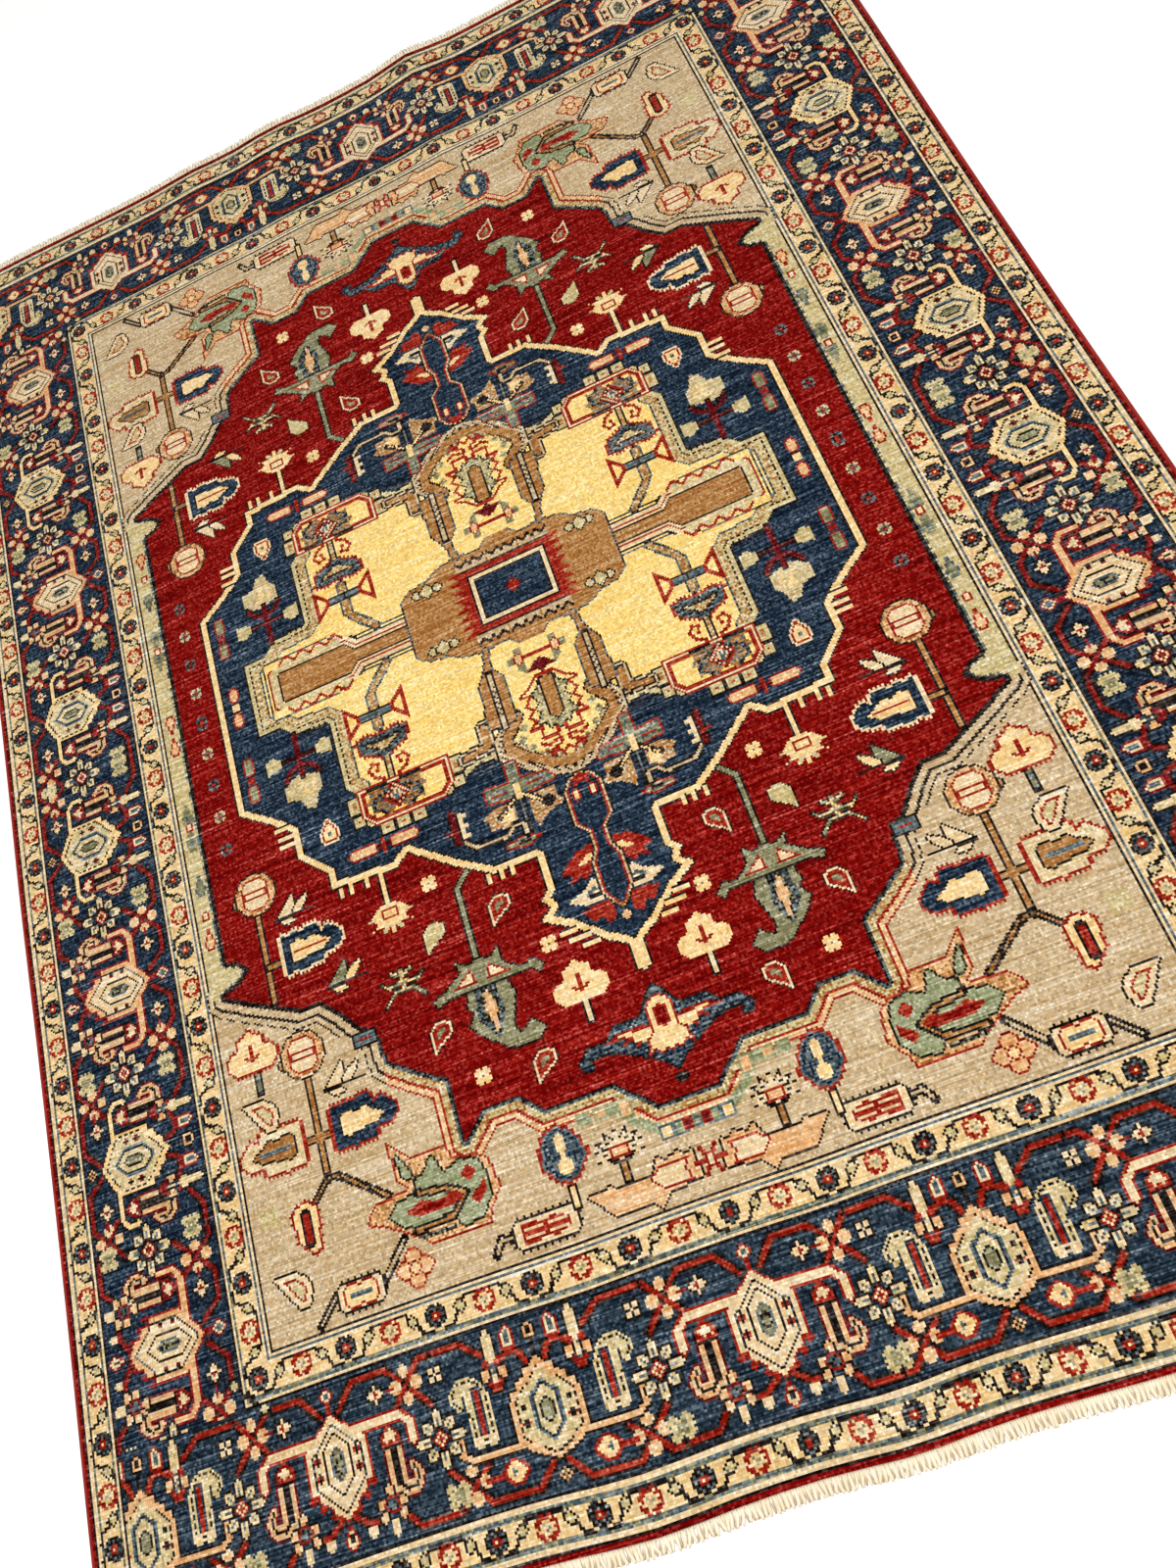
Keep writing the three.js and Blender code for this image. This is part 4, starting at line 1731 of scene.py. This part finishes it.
# The light at a knot's middle, its loss towards the rim, a low knot's light, and what a high one adds.
MIDDLE_LIGHT, RIM_LOSS, LOW_KNOT, HIGH_KNOT = 1.1, -0.55, 0.78, 0.44
# The painted highlight that lights up the tips of a few knots, and how rare such tips are.
TIP_HIGHLIGHTS, RARE = (0.018, 0.016, 0.014), 6.0
# Wool fibres are too fine to show, so they are drawn about 1 mm wide.
FIBRES_TO_THE_METRE, NUB_HEIGHT = 900.0, 1.4 * MM


def pile_wool():
    """Cut wool, dyed in the skein: matt and soft, uneven from knot to knot and from row to row."""
    material, tree, shader = new_material("wool_pile", Roughness=0.95, IOR=1.45, Specular_IOR_Level=0.04)
    dye = node(tree, "ShaderNodeAttribute", {"attribute_name": "dye"})
    knot = node(tree, "ShaderNodeAttribute", {"attribute_name": "knot"})
    cell = node(tree, "ShaderNodeVectorMath", {"operation": "FLOOR"}, _0=knot.outputs["Vector"])
    tuft = node(tree, "ShaderNodeTexWhiteNoise", {"noise_dimensions": "2D"}, Vector=cell.outputs[0])
    place = node(tree, "ShaderNodeTexCoord").outputs["Object"]
    wide = node(tree, "ShaderNodeMapping", Vector=place, Scale=LOTS_TO_THE_METRE)
    lots = node(tree, "ShaderNodeTexNoise", Vector=wide.outputs[0], Scale=1.0, Detail=3.0, Roughness=0.6)
    narrow = node(tree, "ShaderNodeMapping", Vector=place, Scale=YARNS_TO_THE_METRE)
    yarns = node(tree, "ShaderNodeTexNoise", Vector=narrow.outputs[0], Scale=1.0, Detail=1.0, Roughness=0.5)
    # How much dye the wool took: about 1 on the whole, with all three unevennesses taken off.
    strength = FULL_STRENGTH
    for unevenness, share in ((tuft, BY_KNOT), (yarns, BY_YARN), (lots, BY_LOT)):
        added = node(tree, "ShaderNodeMath", MULTIPLY_ADD, _0=unevenness.outputs[0], _1=share, _2=strength)
        strength = added.outputs[0]
    wool = node(tree, "ShaderNodeGamma", Color=dye.outputs["Color"], Gamma=strength)
    # Light falls into the wool between the nubs, so each knot is darker at its rim, and some stand lower.
    within = node(tree, "ShaderNodeVectorMath", {"operation": "FRACTION"}, _0=knot.outputs["Vector"])
    distance = {"operation": "DISTANCE"}
    from_middle = node(tree, "ShaderNodeVectorMath", distance, _0=within.outputs[0], _1=(0.5, 0.5, 0.0))
    squared = node(tree, "ShaderNodeMath", {"operation": "POWER"}, _0=from_middle.outputs["Value"], _1=2.0)
    rim = node(tree, "ShaderNodeMath", MULTIPLY_ADD, _0=squared.outputs[0], _1=RIM_LOSS, _2=MIDDLE_LIGHT)
    other = node(tree, "ShaderNodeSeparateColor", _0=tuft.outputs["Color"])
    stand = node(tree, "ShaderNodeMath", MULTIPLY_ADD, _0=other.outputs[1], _1=HIGH_KNOT, _2=LOW_KNOT)
    light = node(tree, "ShaderNodeMath", MULTIPLY, _0=rim.outputs[0], _1=stand.outputs[0])
    scale = {"operation": "SCALE"}
    lit = node(tree, "ShaderNodeVectorMath", scale, _0=wool.outputs[0], Scale=light.outputs[0])
    # Painted highlights: the tips of a few knots are made paler, as if they caught the light.
    rare = node(tree, "ShaderNodeMath", {"operation": "POWER"}, _0=tuft.outputs["Value"], _1=RARE)
    tip_highlight = node(tree, "ShaderNodeVectorMath", scale, _0=TIP_HIGHLIGHTS, Scale=rare.outputs[0])
    colour = node(tree, "ShaderNodeVectorMath", _0=lit.outputs[0], _1=tip_highlight.outputs[0])
    tree.links.new(colour.outputs[0], shader.inputs["Base Color"])
    # The nub of each knot: highest in its middle, with a groove at its edge.
    nub = node(tree, "ShaderNodeMath", {"operation": "SUBTRACT"}, _0=0.7, _1=from_middle.outputs["Value"])
    fibre = node(tree, "ShaderNodeTexNoise", Vector=place, Scale=FIBRES_TO_THE_METRE, Detail=2.0)
    height = node(tree, "ShaderNodeMath", MULTIPLY_ADD, _0=fibre.outputs[0], _1=0.8, _2=nub.outputs[0])
    bump = node(tree, "ShaderNodeBump", Height=height.outputs[0], Strength=0.8, Distance=NUB_HEIGHT)
    tree.links.new(bump.outputs[0], shader.inputs["Normal"])
    return material


pile_material = pile_wool()
for band in pile:
    band.data.materials.append(pile_material)
print("pile material with", len(pile_material.node_tree.nodes), "nodes")

# %% [markdown]
# ## The foundation
#
# Under the pile is a woven ground of cotton warps and wool wefts, and on the floor it is the rug's
# underside. It is one sheet of cloth, so a grid is enough, warped to the rug's outline by the same function
# as the knots. The weave is too fine to model, so two crossing waves in the material give it.

# %% Foundation sheet
UNDERSIDE = 0.4 * MM
# One square of the sheet is so many knots wide and long.
SQUARE_ACROSS, SQUARE_ALONG = 10, 8


def add_piece(name, bm):
    mesh = bpy.data.meshes.new(name)
    bm.to_mesh(mesh)
    bm.free()
    return in_scene(name, mesh)


def foundation():
    """A grid with a line of corners every few knots, laid under the pile with its face down."""
    bm = bmesh.new()
    across, along_rug = KNOTS_ACROSS // SQUARE_ACROSS, KNOTS_ALONG // SQUARE_ALONG
    bmesh.ops.create_grid(bm, x_segments=across, y_segments=along_rug, size=0.5)
    for vertex in bm.verts:
        x, y = laid((vertex.co.x + 0.5) * KNOTS_ACROSS, (vertex.co.y + 0.5) * KNOTS_ALONG)
        vertex.co = (float(x), float(y), UNDERSIDE)
    bmesh.ops.reverse_faces(bm, faces=bm.faces)
    return add_piece("foundation", bm)


back = foundation()


def back_cotton():
    """Undyed cotton, woven plain: matt, and darker between its threads, which are 3 mm apart."""
    material, tree, shader = new_material(
        "cotton_foundation", Roughness=0.95, IOR=1.45, Specular_IOR_Level=0.2
    )
    place = node(tree, "ShaderNodeTexCoord").outputs["Object"]
    warps, wefts = (
        node(tree, "ShaderNodeTexWave", {"bands_direction": way}, Vector=place, Scale=100.0, Distortion=0.4)
        for way in "XY"
    )
    weave = node(tree, "ShaderNodeMath", MULTIPLY, _0=warps.outputs[1], _1=wefts.outputs[1])
    tone = node(tree, "ShaderNodeMix", {"data_type": "RGBA"}, _0=weave.outputs[0])
    tone.inputs[6].default_value = (*linear("#6F5B44"), 1)
    tone.inputs[7].default_value = (*linear("#C9B894"), 1)
    tree.links.new(tone.outputs[2], shader.inputs["Base Color"])
    bump = node(tree, "ShaderNodeBump", Height=weave.outputs[0], Strength=0.5, Distance=0.5 * MM)
    tree.links.new(bump.outputs[0], shader.inputs["Normal"])
    return material


back.data.materials.append(back_cotton())
print("foundation:", triangles(back), "triangles")

# %% [markdown]
# ## The side cords
#
# The long edges are overcast: red wool is wound round the outermost warps until they make a cord. The
# turns of the yarn lie side by side and show as fine ridges across it. A grid is bent into a tube along the
# edge, and every other ring of it is a little wider, so the ridges are real shape.

# %% Overcast cords
CORD_WIDTH, CORD_HEIGHT, GAP = 7.5 * MM, 7.0 * MM, 0.3 * MM
TURN_OF_YARN, RIDGE = 2.4 * MM, 0.28 * MM
AROUND = 12
# The ridges stay inside the solid's cord, and the last ring is drawn in.
SLIMMER, DRAWN_IN = 0.97, 0.25


def closed(bm):
    """Joins a tube's seam, fills its two ends and turns its faces outwards."""
    bmesh.ops.remove_doubles(bm, verts=bm.verts, dist=0.01 * MM)
    bmesh.ops.holes_fill(bm, edges=[edge for edge in bm.edges if edge.is_boundary])
    bmesh.ops.recalc_face_normals(bm, faces=bm.faces)
    return bm


def overcast_cord(name, side):
    """A grid rolled into a tube along one side, with two rings to each turn of the yarn."""
    way, column = (1, KNOTS_ACROSS) if side == "right" else (-1, 0)
    near_end_y, far_end_y = (float(laid(column, row)[1]) for row in (0, KNOTS_ALONG))
    rings = 2 * round((far_end_y - near_end_y) / TURN_OF_YARN)
    bm = bmesh.new()
    bmesh.ops.create_grid(bm, x_segments=AROUND, y_segments=rings, size=0.5)
    for vertex in bm.verts:
        around = (vertex.co.x + 0.5) * 2 * math.pi
        along_share = vertex.co.y + 0.5
        step = round(along_share * rings)
        # The yarn is wound at a slant, and the cord closes at both ends.
        swing = math.sin(math.pi * step + around * 0.5)
        ridge = RIDGE / CORD_WIDTH * 2 * (swing if step % 2 else -abs(swing))
        grow = (1 + ridge) * (DRAWN_IN if step in (0, rings) else 1)
        x, y = laid(column, along_share * KNOTS_ALONG)
        inwards = way * math.cos(around) * CORD_WIDTH / 2 * grow * SLIMMER
        vertex.co = (
            float(x) + way * (GAP + CORD_WIDTH / 2) - inwards,
            float(y),
            CORD_HEIGHT / 2 + math.sin(around) * CORD_HEIGHT / 2 * grow * SLIMMER,
        )
    return add_piece(name, closed(bm))


cords = [overcast_cord("cord_left", "left"), overcast_cord("cord_right", "right")]


def wound_wool():
    """Red spun wool, wound tight: smoother than the pile, with a little sheen and patches 2.5 cm wide."""
    material, tree, shader = new_material(
        "wool_overcast", Roughness=0.85, IOR=1.45, Specular_IOR_Level=0.25, Sheen_Weight=0.2,
        Sheen_Roughness=0.5,
    )
    place = node(tree, "ShaderNodeTexCoord").outputs["Object"]
    patches = node(tree, "ShaderNodeTexNoise", Vector=place, Scale=40.0, Detail=3.0)
    turns = node(tree, "ShaderNodeTexNoise", Vector=place, Scale=700.0, Detail=2.0)
    mixed = node(tree, "ShaderNodeMath", MULTIPLY_ADD, _0=turns.outputs[0], _1=0.6, _2=patches.outputs[0])
    ramp = node(tree, "ShaderNodeValToRGB", _0=mixed.outputs[0])
    for stop, place_on_ramp, code in zip(ramp.color_ramp.elements, (0.45, 1.0), ("#70150F", "#A2291F")):
        stop.position, stop.color = place_on_ramp, (*linear(code), 1)
    tree.links.new(ramp.outputs[0], shader.inputs["Base Color"])
    bump = node(tree, "ShaderNodeBump", Height=turns.outputs[0], Strength=0.4, Distance=0.5 * MM)
    tree.links.new(bump.outputs[0], shader.inputs["Normal"])
    return material


cord_material = wound_wool()
for cord in cords:
    cord.data.materials.append(cord_material)
print("cords:", [triangles(cord) for cord in cords], "triangles")

# %% [markdown]
# ## The end webs and the fringe
#
# Past the last knots the bare cotton warps run on: a few millimetres are still woven into a narrow web,
# and then they stand free and are cut short. There is one warp end beside each knot, 570 at each end of
# the rug, and every other one lies under its neighbours. Each leans its own way, so copies of one strand
# won't do, and 570 curves are slow. One table of rings makes them all, with seeded random bends.

# %% Webs
WEB_WIDTH, WEB_HEIGHT = 4.0 * MM, 2.2 * MM
STEPS_PER_KNOT, ROUND_THE_WEB = 2, 8
# Every other ring is a little flatter, the last is drawn in, and the web is a touch short and narrow.
BETWEEN_WARPS, WEB_DRAWN_IN, SHORT, NARROW = 0.86, 0.3, 0.9995, 0.98
WAY_OUT = {"near": -1, "far": 1}
LAST_ROW = {"near": 0, "far": KNOTS_ALONG}


def web(name, end):
    """A flat ribbed band along one end of the pile."""
    way, row = WAY_OUT[end], LAST_ROW[end]
    steps = KNOTS_ACROSS * STEPS_PER_KNOT
    bm = bmesh.new()
    bmesh.ops.create_grid(bm, x_segments=steps, y_segments=ROUND_THE_WEB, size=0.5)
    for vertex in bm.verts:
        column = (vertex.co.x + 0.5) * KNOTS_ACROSS
        around = (vertex.co.y + 0.5) * 2 * math.pi
        step = round((vertex.co.x + 0.5) * steps)
        rib = (BETWEEN_WARPS if step % 2 else 1.0) * (WEB_DRAWN_IN if step in (0, steps) else 1)
        x, y = laid(column, row)
        vertex.co = (
            float(x) * SHORT,
            float(y) + way * (GAP + WEB_WIDTH / 2 - math.cos(around) * WEB_WIDTH / 2 * NARROW),
            WEB_HEIGHT / 2 + math.sin(around) * WEB_HEIGHT / 2 * rib,
        )
    return add_piece(name, closed(bm))


webs = [web("web_near", "near"), web("web_far", "far")]
print("webs with", KNOTS_ACROSS * STEPS_PER_KNOT, "ribs and grooves each")

# %% Fringe
FRINGE_LENGTH = {"near": 15 * MM, "far": 22 * MM}
STRAND_WIDTH, STRAND_HEIGHT = 5.0 * MM, 2.2 * MM
ROOT_HEIGHT = 3.2 * MM
SIDES = 6
# How thick a strand is, and how high it still lies, from its root over the web to its cut end.
THICKNESS = np.array([0.45, 0.95, 1.05, 1.0, 0.95, 0.6])
DROP = np.array([1.0, 0.75, 0.2, 0.0, 0.0, 0.0])


def strand_faces(way):
    """The sides, root and tip of one strand, as corner numbers of its rings."""
    last = (len(THICKNESS) - 1) * SIDES
    faces = []
    for ring in range(0, last, SIDES):
        for s in range(SIDES):
            a, b = ring + s, ring + (s + 1) % SIDES
            # A strand of the far end points the other way, so its faces run round the other way too.
            if way > 0:
                a, b = b, a
            faces.append((a, b, b + SIDES, a + SIDES))
    root, tip = list(range(SIDES)), list(range(last, last + SIDES))
    return faces + ([root[::-1], tip] if way < 0 else [root, tip[::-1]])


def fringe(name, end, seed):
    """Warp ends as one mesh of small tapered tubes."""
    way, row = WAY_OUT[end], LAST_ROW[end]
    draw = np.random.default_rng(seed)
    count = KNOTS_ACROSS
    number = np.arange(count)
    x, y = laid(number + 0.5, np.full(count, row))
    # Every other strand lies under its neighbours, thinner and closer to the floor.
    under = number % 2
    length = FRINGE_LENGTH[end] * (1 - 0.08 * under) * draw.uniform(0.92, 1.06, count)
    waving = np.sin(number * 0.45 + 2 * np.sin(number * 0.12))
    lean = (waving * 1.2 + draw.normal(0, 0.8, count)) * MM
    curl = draw.normal(0, 0.8, count) * MM
    size = ((1 - 0.25 * under) * draw.uniform(0.86, 1.1, count))[:, None] * THICKNESS
    share = np.linspace(0, 1, len(THICKNESS))
    turn = np.arange(SIDES) * 2 * np.pi / SIDES + np.pi / 6
    low = STRAND_HEIGHT / 2
    along_x = x[:, None] + lean[:, None] * share + curl[:, None] * np.sin(share * np.pi * 1.5)
    along_y = y[:, None] + way * (GAP + (length + WEB_WIDTH)[:, None] * share)
    lift = (0.4 - 0.7 * under)[:, None] * MM
    along_z = low + (ROOT_HEIGHT - low) * DROP + lift
    ring_x = along_x[:, :, None] + size[:, :, None] * np.cos(turn) * STRAND_WIDTH / 2
    ring_y = np.repeat(along_y[:, :, None], SIDES, axis=2)
    ring_z = np.maximum(along_z[:, :, None] + size[:, :, None] * np.sin(turn) * STRAND_HEIGHT / 2, 0.1 * MM)
    spots = np.stack([ring_x, ring_y, ring_z], axis=-1).reshape(-1, 3)
    step = len(THICKNESS) * SIDES
    strand = strand_faces(way)
    faces = [tuple(corner + thread * step for corner in face) for thread in range(count) for face in strand]
    mesh = bpy.data.meshes.new(name)
    mesh.from_pydata(spots.tolist(), [], faces)
    mesh.shade_smooth()
    return in_scene(name, mesh)


fringes = [fringe("warp_ends_near", "near", 11), fringe("warp_ends_far", "far", 12)]


def undyed_cotton():
    """Undyed twisted cotton: matt cream with a faint sheen, painted browner low down as shade under the
    strands and by the floor.
    """
    material, tree, shader = new_material(
        "cotton_warp", Roughness=0.9, IOR=1.45, Specular_IOR_Level=0.2, Sheen_Weight=0.1,
        Sheen_Roughness=0.5,
    )
    place = node(tree, "ShaderNodeTexCoord").outputs["Object"]
    soil = node(tree, "ShaderNodeTexNoise", Vector=place, Scale=60.0, Detail=4.0)
    fibres = node(tree, "ShaderNodeTexNoise", Vector=place, Scale=800.0, Detail=2.0)
    mixed = node(tree, "ShaderNodeMath", MULTIPLY_ADD, _0=fibres.outputs[0], _1=0.5, _2=soil.outputs[0])
    ramp = node(tree, "ShaderNodeValToRGB", _0=mixed.outputs[0])
    for stop, place_on_ramp, code in zip(ramp.color_ramp.elements, (0.4, 1.0), ("#E9DAB4", "#FFF8E4")):
        stop.position, stop.color = place_on_ramp, (*linear(code), 1)
    # Painted shade: the lower the cotton, the browner it is, where strands lie under their neighbours and
    # on the floor.
    above_floor = node(tree, "ShaderNodeSeparateXYZ", _0=place).outputs[2]
    height = node(tree, "ShaderNodeMapRange", _0=above_floor, _1=0.9 * MM, _2=2.3 * MM)
    tone = node(tree, "ShaderNodeMix", {"data_type": "RGBA"}, _0=height.outputs[0])
    tone.inputs[6].default_value = (*linear("#A58158"), 1)
    tree.links.new(ramp.outputs[0], tone.inputs[7])
    tree.links.new(tone.outputs[2], shader.inputs["Base Color"])
    bump = node(tree, "ShaderNodeBump", Height=fibres.outputs[0], Strength=0.4, Distance=0.4 * MM)
    tree.links.new(bump.outputs[0], shader.inputs["Normal"])
    return material


cotton = undyed_cotton()
for piece in webs + fringes:
    piece.data.materials.append(cotton)
print("webs and fringes:", [(piece.name, triangles(piece)) for piece in webs + fringes])

# %% [markdown]
# ## Floor and light
#
# The rug is shown on white. A large pale floor that glows very faintly and an even white sky give that, and
# a broad warm disk lamp high over the near half gives the nubs of the pile their soft shade.

# %% Floor
FLOOR_REACH, FLOOR_GLOW = 12, 0.22
# How much light the floor's darker and paler patches give back.
FLOOR_GREYS = (0.93, 0.95)


def painted_floor():
    """Matt white paint, with patches about 30 cm wide that are barely darker."""
    material, tree, shader = new_material(
        "painted_floor", Roughness=0.9, IOR=1.45, Emission_Strength=FLOOR_GLOW, Emission_Color=(1, 1, 1, 1)
    )
    place = node(tree, "ShaderNodeTexCoord").outputs["Object"]
    mottle = node(tree, "ShaderNodeTexNoise", Vector=place, Scale=3.0, Detail=3.0)
    ramp = node(tree, "ShaderNodeValToRGB", _0=mottle.outputs[0])
    for stop, grey in zip(ramp.color_ramp.elements, FLOOR_GREYS):
        stop.color = (grey, grey, grey, 1)
    tree.links.new(ramp.outputs[0], shader.inputs["Base Color"])
    return material


bm = bmesh.new()
bmesh.ops.create_grid(bm, x_segments=2, y_segments=2, size=FLOOR_REACH)
floor = add_piece("floor", bm)
floor.data.materials.append(painted_floor())
print("floor:", 2 * FLOOR_REACH, "m square")

# %% Sky and lamp
SKY_COLOUR, SKY_STRENGTH = (1.0, 0.985, 0.96, 1), 0.52
LAMP_COLOUR, LAMP_WATTS, LAMP_WIDTH = (1.0, 0.97, 0.92), 102, 3.0
LAMP_PLACE = Vector((0.1, -0.7, 3.4))

world = bpy.data.worlds.new("sky")
bpy.context.scene.world = world
world.use_nodes = True
background = world.node_tree.nodes["Background"]
background.inputs[0].default_value = SKY_COLOUR
background.inputs[1].default_value = SKY_STRENGTH
lamp_data = bpy.data.lights.new("soft_lamp", "AREA")
lamp_data.shape, lamp_data.size, lamp_data.energy = "DISK", LAMP_WIDTH, LAMP_WATTS
lamp_data.color = LAMP_COLOUR
lamp = in_scene("soft_lamp", lamp_data)
facing_middle = LAMP_PLACE.to_track_quat("Z", "Y").to_matrix().to_4x4()
lamp.matrix_world = Matrix.Translation(LAMP_PLACE) @ facing_middle
bpy.context.scene.view_settings.view_transform = "Standard"
print("sky and one lamp of", LAMP_WATTS, "W")

# %% [markdown]
# ## Telling the frame what is what
#
# Every new piece rides on the rug's one body, and the solid that it stands for is hidden. The foundation is
# a sheet of cloth, and all the rest is worked into it.

# %% Bodies, and the solids that the pieces stand for
def stands_for(piece, solid):
    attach(piece, "root")
    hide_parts(solid)


for piece in [*pile, back]:
    stands_for(piece, "carpet")
for piece, side in zip(cords, ("left", "right")):
    stands_for(piece, f"selvedge_{side}")
for piece, end in zip(webs + fringes, ("near", "far", "near", "far")):
    stands_for(piece, f"fringe_{end}")
print("pieces:", len(pile) + 1 + len(cords) + len(webs) + len(fringes))
